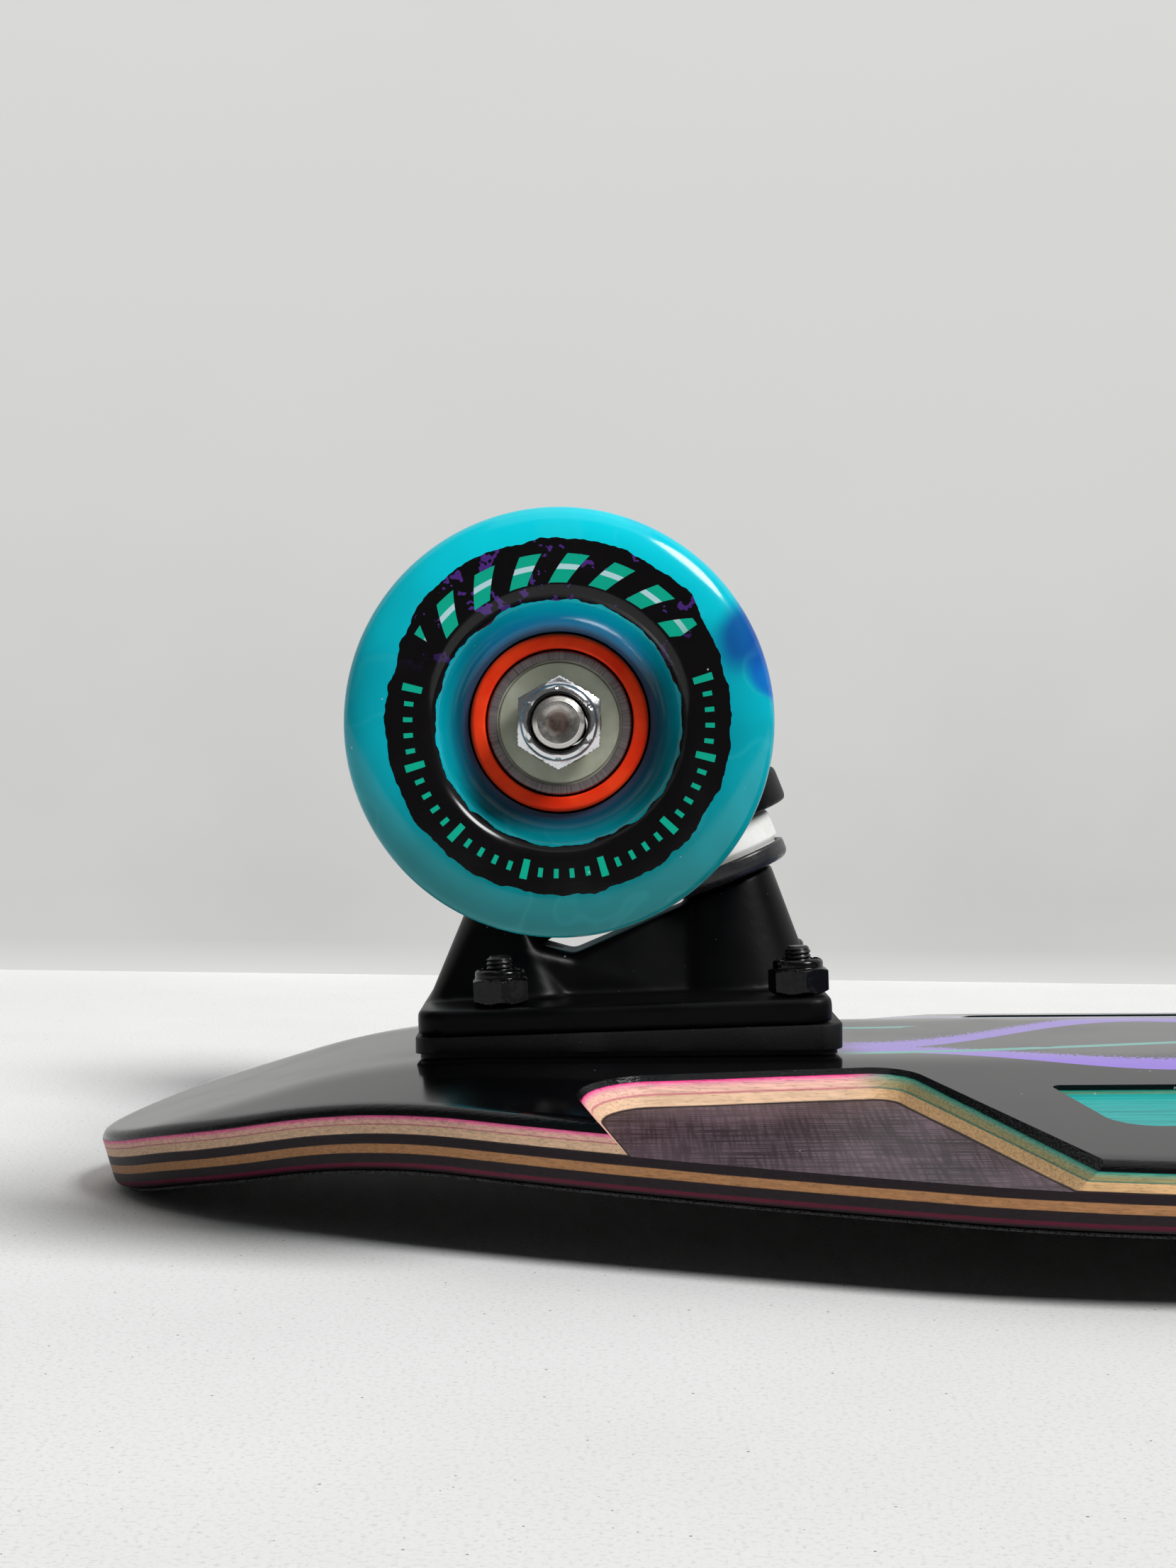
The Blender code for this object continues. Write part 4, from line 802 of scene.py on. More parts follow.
RING_CENTRE = 0.0397
PIVOT_PIN_RADIUS = 0.0052
PIVOT_PIN_END = 0.0450
PIVOT_CUP_WALL = 0.0022
MOUNT_NUT_FLATS = 0.0098
NUT_ROOM = 0.0006
MOUTH_ROOM = 0.012  # cut clear in front of the housing's mouth
DRILL_PAST = 0.01  # how far a drill runs past a casting
SHAFT_TOP = 0.04  # where the kingpin's drill stops
SPOT_TOP = 0.03  # where a nut's spot facer stops
SPOT_CORNER = 0.0006


def along_kingpin(height):
    """Frame on the kingpin's axis, this far from the baseplate's underside."""
    foot = Matrix.Translation((KINGPIN_FOOT, 0.0, 0.0))
    return foot @ Matrix.Rotation(-KINGPIN_LEAN, 4, "Y") @ Matrix.Translation((0.0, 0.0, height))


def along_pivot(reach):
    """Frame on the axis that the hanger leans about, this far from the ring's centre, z towards the cup."""
    middle = Matrix.Translation(along_kingpin(RING_CENTRE).translation)
    return middle @ Matrix.Rotation(-pi / 2 - PIVOT_ANGLE, 4, "Y") @ Matrix.Translation((0.0, 0.0, reach))


def along_axle(y):
    """Frame on the axle, this far from its middle, z along the truck's y."""
    return Matrix.Translation((0.0, y, AXLE_HEIGHT)) @ Matrix.Rotation(-pi / 2, 4, "X")


def ring_points(radius, place, steps=40):
    """Points of a circle round a frame's z axis."""
    turn = np.linspace(0.0, 2 * pi, steps, endpoint=False)
    flat = np.column_stack([radius * np.cos(turn), radius * np.sin(turn), np.zeros(steps)])
    return flat @ np.array(place.to_3x3()).T + np.array(place.translation)


def hull(*groups):
    """The closed convex skin round several groups of points."""
    bm = bmesh.new()
    for point in np.concatenate(groups):
        bm.verts.new(point)
    skin = bmesh.ops.convex_hull(bm, input=bm.verts)
    inside = [item for item in skin["geom_interior"] + skin["geom_unused"]
              if isinstance(item, bmesh.types.BMVert)]
    bmesh.ops.delete(bm, geom=list(set(inside)), context="VERTS")
    if bm.calc_volume(signed=True) < 0:
        bmesh.ops.reverse_faces(bm, faces=bm.faces)
    return bm


def cast(solids, cutters):
    """Closed solids melted into one casting with soft inner corners, then machined with the cutters."""
    melt = ("REMESH", {"mode": "VOXEL", "voxel_size": CAST_VOXEL})
    return shaped(joined(solids), melt, ("SMOOTH", {"factor": 0.5, "iterations": 10}), cutters=cutters)


def arch(x, half_width, height, foot):
    """Points across a rib at x: straight sides up from its foot and rounded shoulders."""
    half = [(half_width - inset, height - drop) for inset, drop in quarter(RIB_SHOULDER, 5)]
    half += [(half_width, foot)]
    return np.array([(x, side * y, h) for side in (-1, 1) for y, h in half])


def baseplate():
    """The baseplate in the truck frame."""
    outer, inner, wide = -PLATE_OUTER, PLATE_INNER, PLATE_HALF_WIDTH
    low = PLATE_THICKNESS / 2
    corners = [(outer, -wide), (inner, -wide), (inner, wide), (outer, wide)]
    profile = [(inset, PLATE_THICKNESS - drop) for inset, drop in quarter(CAST_EDGE, 3)] + [(0.0, 0.0)]
    outline = rounded_corners(corners, [PAD_CORNER_RADIUS] * 4, 10)
    plate = solid_of(slab(outline, np.zeros((len(outline), 2)), profile, 4))

    foot_width = HOUSING_RADIUS + HOUSING_FLARE
    foot = rounded_corners([(outer, -foot_width), (HOUSING_FOOT_END, -foot_width),
                            (HOUSING_FOOT_END, foot_width), (outer, foot_width)],
                           [PAD_CORNER_RADIUS, FOOT_ROUND, FOOT_ROUND, PAD_CORNER_RADIUS], 10)
    foot = np.column_stack([foot, np.full(len(foot), low)])
    housing = hull(ring_points(HOUSING_RADIUS, along_pivot(HOUSING_MOUTH)),
                   ring_points(HOUSING_RADIUS, along_pivot(PIVOT_PIN_END)), foot)
    skirt = ring_points(BOSS_SKIRT_RADIUS, Matrix.Identity(4)) * (BOSS_SKIRT_STRETCH, 1, 1)
    skirt += (KINGPIN_FOOT - BOSS_SKIRT_SHIFT, 0.0, low)
    boss = hull(ring_points(BOSS_RADIUS, along_kingpin(BOSS_HEIGHT)), skirt)
    sides = (-RIB_HALF_WIDTH, RIB_HALF_WIDTH)
    mouth_x = along_pivot(HOUSING_MOUTH).translation.x
    notch = arch(NOTCH_X, RIB_HALF_WIDTH, NOTCH_HEIGHT, low)
    rib = hull(notch, arch(mouth_x, RIB_HALF_WIDTH * RIB_FLARE, RIB_HEIGHT, low))
    web_foot = np.array([(KINGPIN_FOOT - BOSS_SKIRT_RADIUS, y, low) for y in sides])
    crest_place = along_kingpin(BOSS_HEIGHT - CAST_EDGE)
    crest_sides = (-WEB_CREST_HALF_WIDTH, WEB_CREST_HALF_WIDTH)
    web = hull(notch, web_foot, [crest_place @ Vector((-WEB_REACH, y, 0.0)) for y in crest_sides])

    cup = PIVOT_CUP_WALL + PIVOT_PIN_RADIUS + 2 * FIT_GAP
    seat_end = PIVOT_PIN_END + PIVOT_CUP_WALL + 2 * FIT_GAP
    seat_start = HOUSING_MOUTH - MOUTH_ROOM
    seat = lathe([(0.0, seat_start), (cup, seat_start), (cup, seat_end), (0.0, seat_end)])
    bore, recess = KINGPIN_RADIUS + FIT_GAP, KINGPIN_FLATS / 2 / cos(pi / 6) + FIT_GAP
    top = KINGPIN_FLATS / 2 / cos(pi / 6) * tan(KINGPIN_LEAN) + 3 * FIT_GAP + KINGPIN_HEAD_HEIGHT
    shaft = lathe([(0.0, -DRILL_PAST), (recess, -DRILL_PAST), (recess, top), (bore, top),
                   (bore, SHAFT_TOP), (0.0, SHAFT_TOP)], flats=KINGPIN_FLATS + 2 * FIT_GAP)
    cutters = [moved(seat, along_pivot(0.0)), moved(shaft, along_kingpin(0.0))]
    hole, spot = BOLT_RADIUS + FIT_GAP, MOUNT_NUT_FLATS / 2 / cos(pi / 6) + NUT_ROOM
    for s, y in bolt_spots:
        drill = lathe([(0.0, -DRILL_PAST), (hole, -DRILL_PAST), (hole, PLATE_THICKNESS),
                       (spot, PLATE_THICKNESS), (spot, SPOT_TOP), (0.0, SPOT_TOP)],
                      [0.0, 0.0, 0.0, SPOT_CORNER, 0.0, 0.0], 40)
        cutters.append(moved(drill, Matrix.Translation((s, y, 0.0))))
    return cast([plate, housing, boss, rib, web], cutters)


def build_cast_finish():
    """Satin black paint over a casting: a soft unevenness, orange peel, and pale dust specks."""
    made, tree, shader, own = new_finish("cast_paint")
    cloud = noise(tree, own, 55.0, 3.0)
    dust = figure(tree, "MAXIMUM", specks(tree, own, 700.0, 0.04), specks(tree, own, 2400.0, 0.02))
    base = blend_of(tree, between(tree, cloud, 0.35, 0.7), shade(3, 3, 4), shade(8, 8, 9))
    colour = blend_of(tree, times(tree, dust, 0.6), base, shade(165, 166, 168))
    peel = noise(tree, own, 1100.0, 2.0)
    waves = noise(tree, own, 160.0, 2.0)
    bump = bumped(tree, 0.15, 0.0004, figure(tree, "MULTIPLY_ADD", peel, 0.12, waves))
    set_shader(tree, shader, {"Base Color": colour, "Roughness": between(tree, cloud, 0.3, 0.7, 0.32, 0.44),
                              "Normal": bump, "Specular IOR Level": 0.12})
    return made


cast_finish = build_cast_finish()
baseplate_bm = baseplate()
for end in ENDS:
    piece(end + "_baseplate_casting", baseplate_bm.copy(), truck_places[end], cast_finish, "board",
          [end + "_baseplate"])

# Pivot cups: cups of black urethane, moulded and pressed into the baseplates' housings. The hangers' pins
# turn in them as the trucks lean.
PIVOT_CUP_RADIUS = PIVOT_PIN_RADIUS + FIT_GAP + PIVOT_CUP_WALL


def build_cup_finish():
    """Satin black urethane, greyer in soft patches, with fine moulding texture."""
    made, tree, shader, own = new_finish("pivot_cup_urethane")
    cloud = noise(tree, own, 260.0, 3.0)
    bump = bumped(tree, 0.3, 0.0001, noise(tree, own, 3000.0))
    set_shader(tree, shader, {"Base Color": blend_of(tree, cloud, shade(34, 34, 36), shade(52, 52, 54)),
                              "Roughness": between(tree, cloud, 0.3, 0.7, 0.35, 0.5), "Normal": bump})
    return made


cup_mouth, cup_floor = HOUSING_MOUTH + FIT_GAP, PIVOT_PIN_END + FIT_GAP
cup_bm = lathe(
    [(0.0, cup_floor), (PIVOT_PIN_RADIUS + FIT_GAP, cup_floor), (PIVOT_PIN_RADIUS + FIT_GAP, cup_mouth),
     (PIVOT_CUP_RADIUS, cup_mouth), (PIVOT_CUP_RADIUS, cup_floor + PIVOT_CUP_WALL),
     (0.0, cup_floor + PIVOT_CUP_WALL)], [0.0, 0.0040, 0.0006, 0.0004, 0.0010, 0.0])
cup_finish = build_cup_finish()
for end in ENDS:
    piece(end + "_pivot_cup_liner", cup_bm.copy(), truck_places[end] @ along_pivot(0.0), cup_finish, "board",
          [end + "_pivot_cup"])

# Kingpins: plain steel bolts with rolled threads, pressed through the bosses with their heads under the
# baseplates. Each carries the washers, the bushings and the hanger's ring.
KINGPIN_PROUD = 0.0010
HEAD_CROWN = 0.46  # radius of the head's flat end, of the width over its flats
HEAD_DROP = 0.0009  # height of the chamfer round it
KINGPIN_NUT_HEIGHT = 0.0070
NUT_COLLAR_HEIGHT = 0.0018
WASHER_THICKNESS = 0.0015
RING_THICKNESS = 0.0069
ROADSIDE_BUSHING_HEIGHT = 0.0098
ROD_CHAMFER = 0.0006
THREAD_PITCH = 0.00106
THREAD_DEPTH = 0.00035
LOW_WASHER = BOSS_HEIGHT + FIT_GAP
LOW_BUSHING = LOW_WASHER + WASHER_THICKNESS + FIT_GAP
RING_LOW = RING_CENTRE - RING_THICKNESS / 2
RING_HIGH = RING_CENTRE + RING_THICKNESS / 2
HIGH_BUSHING = RING_HIGH + FIT_GAP
HIGH_WASHER = HIGH_BUSHING + ROADSIDE_BUSHING_HEIGHT + FIT_GAP
KINGPIN_NUT = HIGH_WASHER + WASHER_THICKNESS + FIT_GAP
KINGPIN_END = KINGPIN_NUT + KINGPIN_NUT_HEIGHT + NUT_COLLAR_HEIGHT + KINGPIN_PROUD


def radius_of(tree, vector):
    """A vector's distance from the z axis."""
    flat = stretched(tree, vector, 1, 1, 0)
    return add_node(tree, "VectorMath", {0: flat}, operation="LENGTH").outputs[1]


def build_ring_group():
    """Marks of turning: a value that changes only with the distance from z and, more slowly, along it."""
    tree, start, end = new_group("turned rings", {"Vector": "Vector", "Scale": "Float"}, {"Height": "Float"})
    height = add_node(tree, "SeparateXYZ", {0: start.outputs["Vector"]}).outputs[2]
    spot = add_node(tree, "CombineXYZ", {0: radius_of(tree, start.outputs["Vector"]), 1: height}).outputs[0]
    rings = add_node(tree, "TexNoise", {"Vector": spot, "Scale": start.outputs["Scale"], "Detail": 3.0})
    tree.links.new(rings.outputs[0], end.inputs["Height"])
    return tree


turned_rings = build_ring_group()


def rings_of(tree, vector, scale):
    """The height of the turned rings group."""
    made = add_node(tree, "Group", node_tree=turned_rings)
    tree.links.new(vector, made.inputs["Vector"])
    made.inputs["Scale"].default_value = scale
    return made.outputs["Height"]


def build_steel_finish():
    """Bare turned steel: fine rings, faint rust-brown staining and smudges."""
    made, tree, shader, own = new_finish("turned_steel")
    rings = rings_of(tree, own, 3200.0)
    stain = noise(tree, own, 520.0, 4.0, 0.6)
    tone = blend_of(tree, between(tree, rings, 0.3, 0.7), shade(176, 172, 166), shade(214, 212, 208))
    stained = blend_of(tree, between(tree, stain, 0.55, 0.78, 0.0, 0.75), tone, shade(112, 84, 66))
    # Darker brown towards the axis, over the turning centre in a rod's end face.
    heart = between(tree, radius_of(tree, own), 0.0012, 0.0024, 0.8, 0.0)
    colour = blend_of(tree, heart, stained, shade(112, 84, 74))
    bump = bumped(tree, 0.35, 0.00008, rings)
    set_shader(tree, shader, {"Base Color": colour, "Metallic": between(tree, stain, 0.55, 0.78, 1.0, 0.75),
                              "Roughness": between(tree, stain, 0.35, 0.75, 0.20, 0.46),
                              "Normal": bump})
    return made


steel_finish = build_steel_finish()
head_top = KINGPIN_FLATS / 2 / cos(pi / 6) * tan(KINGPIN_LEAN) + 2 * FIT_GAP + KINGPIN_HEAD_HEIGHT
head_low, head_corner = head_top - KINGPIN_HEAD_HEIGHT, KINGPIN_FLATS / 2 / cos(pi / 6)
kingpin_bm = lathe(
    [(0.0, head_low), (KINGPIN_FLATS * HEAD_CROWN, head_low), (head_corner, head_low + HEAD_DROP),
     (head_corner, head_top), (KINGPIN_RADIUS, head_top), (KINGPIN_RADIUS, KINGPIN_END - ROD_CHAMFER),
     (KINGPIN_RADIUS - ROD_CHAMFER, KINGPIN_END), (0.0, KINGPIN_END)],
    flats=KINGPIN_FLATS, longest=THREAD_PITCH / 6,
    thread=(HIGH_WASHER, KINGPIN_END, THREAD_PITCH, THREAD_DEPTH))
for end in ENDS:
    piece(end + "_kingpin_bolt", kingpin_bm.copy(), truck_places[end] @ along_kingpin(0.0), steel_finish,
          "board", [end + "_kingpin"])

# Boardside washers and bushings: a black cupped washer on the boss holds the foot of a white urethane barrel,
# whose other end carries the hanger's ring.
WASHER_RIM = 0.0036
WASHER_WALL = 0.0012
BUSHING_RADIUS = 0.0120
BUSHING_SEAT_RADIUS = 0.0112
BUSHING_TOP_RADIUS = 0.0086
BUSHING_BAND = 0.0020
BARREL_FLARE = 0.001  # height over which the barrel widens above its washer
RING_BORE = 0.0082
STACK_BORE = KINGPIN_RADIUS + FIT_GAP


def build_washer_finish():
    """Black coated pressed steel: faint turning marks, with bare metal starting to show in specks."""
    made, tree, shader, own = new_finish("washer_coating")
    wear = noise(tree, own, 900.0, 4.0, 0.7)
    bare = between(tree, wear, 0.66, 0.74)
    colour = blend_of(tree, bare, shade(38, 38, 40), shade(126, 124, 120))
    bump = bumped(tree, 0.3, 0.0001, rings_of(tree, own, 1500.0))
    set_shader(tree, shader, {"Base Color": colour, "Roughness": between(tree, wear, 0.3, 0.7, 0.24, 0.38),
                              "Metallic": times(tree, bare, 0.8), "Normal": bump})
    return made


def build_bushing_finish():
    """White urethane: slightly warm, a little see-through, with grey dust and a fine moulded skin."""
    made, tree, shader, own = new_finish("bushing_urethane")
    cloud = noise(tree, own, 240.0, 3.0)
    dust = specks(tree, own, 1500.0, 0.05)
    base = blend_of(tree, between(tree, cloud, 0.35, 0.7), shade(240, 240, 236), shade(226, 226, 220))
    colour = blend_of(tree, times(tree, dust, 0.4), base, shade(150, 148, 142))
    bump = bumped(tree, 0.15, 0.0001, noise(tree, own, 1800.0))
    set_shader(tree, shader, {"Base Color": colour, "Roughness": between(tree, cloud, 0.3, 0.7, 0.30, 0.42),
                              "Normal": bump, "Subsurface Weight": 0.15, "Subsurface Scale": 0.002})
    return made


washer_finish, bushing_finish = build_washer_finish(), build_bushing_finish()
rim_inner = BUSHING_SEAT_RADIUS + FIT_GAP
rim_outer = rim_inner + WASHER_WALL
cup_washer_bm = lathe(
    [(STACK_BORE, LOW_WASHER), (rim_outer, LOW_WASHER), (rim_outer, LOW_WASHER + WASHER_RIM),
     (rim_inner, LOW_WASHER + WASHER_RIM), (rim_inner, LOW_WASHER + WASHER_THICKNESS),
     (STACK_BORE, LOW_WASHER + WASHER_THICKNESS)],
    [0.0003, 0.0016, 0.00055, 0.00055, 0.0006, 0.0003], hollow=True)
rim_top = LOW_WASHER + WASHER_RIM
barrel_bm = lathe(
    [(STACK_BORE, LOW_BUSHING), (BUSHING_SEAT_RADIUS, LOW_BUSHING), (BUSHING_SEAT_RADIUS, rim_top),
     (BUSHING_RADIUS, rim_top + BARREL_FLARE), (BUSHING_RADIUS, RING_LOW - FIT_GAP),
     (RING_BORE - FIT_GAP, RING_LOW - FIT_GAP), (RING_BORE - FIT_GAP, RING_CENTRE - FIT_GAP / 2),
     (STACK_BORE, RING_CENTRE - FIT_GAP / 2)],
    [0.0003, 0.0005, 0.0004, 0.0008, 0.0010, 0.0003, 0.0005, 0.0003], hollow=True)
for end in ENDS:
    place = truck_places[end] @ along_kingpin(0.0)
    piece(end + "_boardside_cup_washer", cup_washer_bm.copy(), place, washer_finish, "board",
          [end + "_boardside_washer"])
    bends = ("board", end + "_truck_arm", place @ Vector((0, 0, rim_top)), place @ Vector((0, 0, RING_LOW)))
    piece(end + "_boardside_barrel", barrel_bm.copy(), place, bushing_finish, bends,
          [end + "_boardside_bushing"])

# Hangers: cast aluminium in satin black paint. The ring sits between the bushings, a webbed yoke joins it
# to the arms that hold the axle, and a pin runs from the saddle into the pivot cup.
RING_RADIUS = 0.0162
HANGER_HALF_LENGTH = 0.0667
HANGER_END_RADIUS = 0.0084
HANGER_MIDDLE_RADIUS = 0.0115
YOKE_HALF_WIDTH = 0.0300
YOKE_REACH = 0.0420
YOKE_INSET = 0.0005
SADDLE_RADIUS = 0.0105
SADDLE_HALF_WIDTH = 0.0120
SADDLE_START = 0.0120
SADDLE_END = 0.0240
SADDLE_END_RADIUS = 0.0086
PIN_ROOT_RADIUS = 0.0076
PIN_ROOT = 0.0200
PIN_NECK_RADIUS = 0.0070
PIN_NECK = 0.0270
PIN_LEAD = 0.0030
PIN_END_ROUND = 0.0045
ARM_BLEND = 0.020  # radius where an arm starts to taper
BULGE_ROOM = 0.0028
STACK_ROOM = 0.0008
SPOT_FACE = 0.0002
LEAN_LIMIT = radians(18.0)
AXLE_RADIUS = 0.00397
STACK_RADIUS = BUSHING_TOP_RADIUS + WASHER_WALL


def hanger():
    """The hanger in the truck frame."""
    ring = lathe([(0.0, RING_LOW), (RING_RADIUS, RING_LOW), (RING_RADIUS, RING_HIGH), (0.0, RING_HIGH)],
                 [0.0, CAST_EDGE, CAST_EDGE, 0.0])
    end = HANGER_HALF_LENGTH
    arm = lathe([(0.0, -end), (HANGER_END_RADIUS, -end), (HANGER_MIDDLE_RADIUS, -YOKE_HALF_WIDTH),
                 (HANGER_MIDDLE_RADIUS, YOKE_HALF_WIDTH), (HANGER_END_RADIUS, end), (0.0, end)],
                [0.0, CAST_EDGE, ARM_BLEND, ARM_BLEND, CAST_EDGE, 0.0])
    half_ring = []
    for height in (RING_LOW + YOKE_INSET, RING_HIGH - YOKE_INSET):
        points = ring_points(RING_RADIUS - YOKE_INSET, along_kingpin(height))
        half_ring.append(points[points[:, 0] < KINGPIN_FOOT - height * sin(KINGPIN_LEAN)])
    arm_ends = [ring_points(HANGER_END_RADIUS, along_axle(y)) for y in (-YOKE_REACH, YOKE_REACH)]
    yoke = hull(*arm_ends, *half_ring)
    saddle_ends = [ring_points(SADDLE_RADIUS, along_axle(y)) for y in (-SADDLE_HALF_WIDTH, SADDLE_HALF_WIDTH)]
    saddle = hull(ring_points(SADDLE_RADIUS, along_pivot(SADDLE_START)), *saddle_ends,
                  ring_points(SADDLE_END_RADIUS, along_pivot(SADDLE_END)))
    pin = lathe([(0.0, 0.0), (PIN_ROOT_RADIUS, 0.0), (PIN_ROOT_RADIUS, PIN_ROOT), (PIN_NECK_RADIUS, PIN_NECK),
                 (PIVOT_PIN_RADIUS, HOUSING_MOUTH - PIN_LEAD), (PIVOT_PIN_RADIUS, PIVOT_PIN_END),
                 (0.0, PIVOT_PIN_END)], [0.0, 0.0, 0.0, 0.0, 0.0, PIN_END_ROUND, 0.0])

    room = []
    for height, radius in ((RING_HIGH - SPOT_FACE, BUSHING_SEAT_RADIUS),
                           (KINGPIN_END + DRILL_PAST, STACK_RADIUS)):
        sway = (height - RING_CENTRE) * tan(LEAN_LIMIT)
        for y in (-sway, sway):
            spot = along_kingpin(height) @ Matrix.Translation((0.0, y, 0.0))
            room.append(ring_points(radius + STACK_ROOM, spot))
    low_room = BUSHING_RADIUS + BULGE_ROOM
    below = lathe([(0.0, BOSS_HEIGHT - DRILL_PAST), (low_room, BOSS_HEIGHT - DRILL_PAST),
                   (low_room, RING_LOW + SPOT_FACE), (0.0, RING_LOW + SPOT_FACE)])
    bore = lathe([(0.0, RING_LOW - DRILL_PAST), (RING_BORE, RING_LOW - DRILL_PAST),
                  (RING_BORE, RING_HIGH + DRILL_PAST), (0.0, RING_HIGH + DRILL_PAST)])
    gun, end = AXLE_RADIUS + FIT_GAP, end + DRILL_PAST
    drill = lathe([(0.0, -end), (gun, -end), (gun, end), (0.0, end)])
    cutters = [hull(*room), moved(below, along_kingpin(0.0)), moved(drill, along_axle(0.0))]
    casting = cast([moved(ring, along_kingpin(0.0)), moved(arm, along_axle(0.0)), yoke, saddle,
                    moved(pin, along_pivot(0.0))], cutters)
    return shaped(casting, cutters=[moved(bore, along_kingpin(0.0))])


hanger_bm = hanger()
for end in ENDS:
    piece(end + "_hanger_casting", hanger_bm.copy(), truck_places[end], cast_finish, end + "_truck_arm",
          [end + "_hanger"])

# Axles: one turned steel rod held fast in each hanger, threaded at both ends for the wheels' nuts, with a
# turning centre in each end face.
AXLE_PROUD = 0.0040
WASHER_GAP = 0.0010
BEARING_SPACING = 0.0240
AXLE_NUT_FLATS = 0.0124
AXLE_NUT_HEIGHT = 0.0055
AXLE_NUT_COLLAR = 0.0018
WHEEL_Y = HANGER_HALF_LENGTH + WASHER_GAP + BEARING_SPACING / 2
AXLE_NUT_Y = WHEEL_Y + BEARING_SPACING / 2 + WASHER_GAP
AXLE_HALF_LENGTH = AXLE_NUT_Y + AXLE_NUT_HEIGHT + AXLE_NUT_COLLAR + AXLE_PROUD
AXLE_CHAMFER = (ROD_CHAMFER * 1.4, ROD_CHAMFER * 1.2)  # across the end and along the rod
AXLE_THREAD_STEPS = 80
CENTRE_RADIUS = 0.0022
CENTRE_DEPTH = 0.0010
axle_half = [(0.0, AXLE_HALF_LENGTH - CENTRE_DEPTH), (CENTRE_RADIUS, AXLE_HALF_LENGTH),
             (AXLE_RADIUS - AXLE_CHAMFER[0], AXLE_HALF_LENGTH),
             (AXLE_RADIUS, AXLE_HALF_LENGTH - AXLE_CHAMFER[1])]
thread_half = np.linspace(AXLE_HALF_LENGTH - ROD_CHAMFER, AXLE_NUT_Y, AXLE_THREAD_STEPS)
axle_rows = axle_half + [(AXLE_RADIUS, y) for y in thread_half]
axle_rows += [(AXLE_RADIUS, -y) for y in thread_half[::-1]] + [(r, -y) for r, y in axle_half[::-1]]
axle_bm = lathe(axle_rows, thread=(AXLE_NUT_Y, AXLE_HALF_LENGTH, THREAD_PITCH, THREAD_DEPTH))
for end in ENDS:
    piece(end + "_axle_rod", axle_bm.copy(), truck_places[end] @ along_axle(0.0), steel_finish,
          end + "_truck_arm", [end + "_axle"])

# Roadside bushings, washers and kingpin nuts: a white urethane cone under a flat black washer, squeezed by a
# black lock nut with a nylon collar.
NUT_CROWN = 0.92  # radius of its foot, of half the width over its flats
NUT_CHAMFER = radians(30.0)
NUT_STEPS = 180
NUT_SPACING = 0.0003  # most between two points of its section
COLLAR_RADIUS = 0.93  # and of the collar
COLLAR_LIP = 0.76  # and of the collar's lip
COLLAR_ROUND = 0.55  # rounding of the collar, of its height
NYLON_DEPTH = 0.0005
CRIMP = 0.00022
CRIMP_ANGLE = 0.11


def lock_nut(flats, height, collar, bore):
    """A hexagon nut, chamfered at both ends, with a crimped round collar over a nylon ring."""
    corner, crown = flats / 2 / cos(pi / 6), flats / 2 * NUT_CROWN
    drop = (corner - crown) * tan(NUT_CHAMFER)
    wide, lip, top = flats / 2 * COLLAR_RADIUS, flats / 2 * COLLAR_LIP, height + collar
    section = [(bore, 0.0), (crown, 0.0), (corner, drop), (corner, height - drop),
               (wide, height - drop * 0.1), (wide, top), (lip, top), (lip, top - NYLON_DEPTH),
               (bore, top - NYLON_DEPTH)]
    radii = [0.0001, 0.0002, 0.0001, 0.0001, 0.0003, collar * COLLAR_ROUND, 0.00025, 0.0001, 0.0002]
    crimp = (top - NYLON_DEPTH / 2, CRIMP, CRIMP_ANGLE)
    return lathe(section, radii, NUT_STEPS, hollow=True, flats=flats, longest=NUT_SPACING, crimp=crimp)


def build_nut_finish(name, metal, flats, top, plating):
    """Plated or blackened steel nut with a nylon ring inside its collar's lip."""
    made, tree, shader, own = new_finish(name)
    height = add_node(tree, "SeparateXYZ", {0: own}).outputs[2]
    inside = figure(tree, "LESS_THAN", radius_of(tree, own), flats / 2 * COLLAR_LIP - 0.00005)
    nylon = times(tree, inside, figure(tree, "GREATER_THAN", height, top - 0.0012))
    cloud = noise(tree, own, 600.0, 4.0, 0.6)
    stain = between(tree, cloud, 0.56, 0.78, 0.0, 0.6)
    colour = blend_of(tree, stain, metal, shade(70, 66, 62))
    colour = blend_of(tree, nylon, colour, shade(26, 27, 28))
    bump = bumped(tree, 0.25, 0.0001, cloud)
    set_shader(tree, shader, {
        "Base Color": colour, "Metallic": times(tree, less(tree, 1.0, nylon), plating),
        "Roughness": plus(tree, between(tree, cloud, 0.35, 0.8, 0.10, 0.34), times(tree, nylon, 0.25)),
        "Normal": bump})
    return made


cone_bm = lathe(
    [(STACK_BORE, RING_CENTRE + FIT_GAP / 2), (RING_BORE - FIT_GAP, RING_CENTRE + FIT_GAP / 2),
     (RING_BORE - FIT_GAP, HIGH_BUSHING), (BUSHING_SEAT_RADIUS, HIGH_BUSHING),
     (BUSHING_SEAT_RADIUS, HIGH_BUSHING + BUSHING_BAND), (BUSHING_TOP_RADIUS, HIGH_WASHER - FIT_GAP),
     (STACK_BORE, HIGH_WASHER - FIT_GAP)],
    [0.0003, 0.0005, 0.0003, 0.0005, 0.0010, 0.0006, 0.0003], hollow=True)
washer_top = HIGH_WASHER + WASHER_THICKNESS
flat_washer_bm = lathe(
    [(STACK_BORE, HIGH_WASHER), (STACK_RADIUS, HIGH_WASHER), (STACK_RADIUS, washer_top),
     (STACK_BORE, washer_top)], [0.0002, 0.0003, 0.0006, 0.0003], hollow=True)
kingpin_nut_bm = lock_nut(KINGPIN_FLATS, KINGPIN_NUT_HEIGHT, NUT_COLLAR_HEIGHT, STACK_BORE)
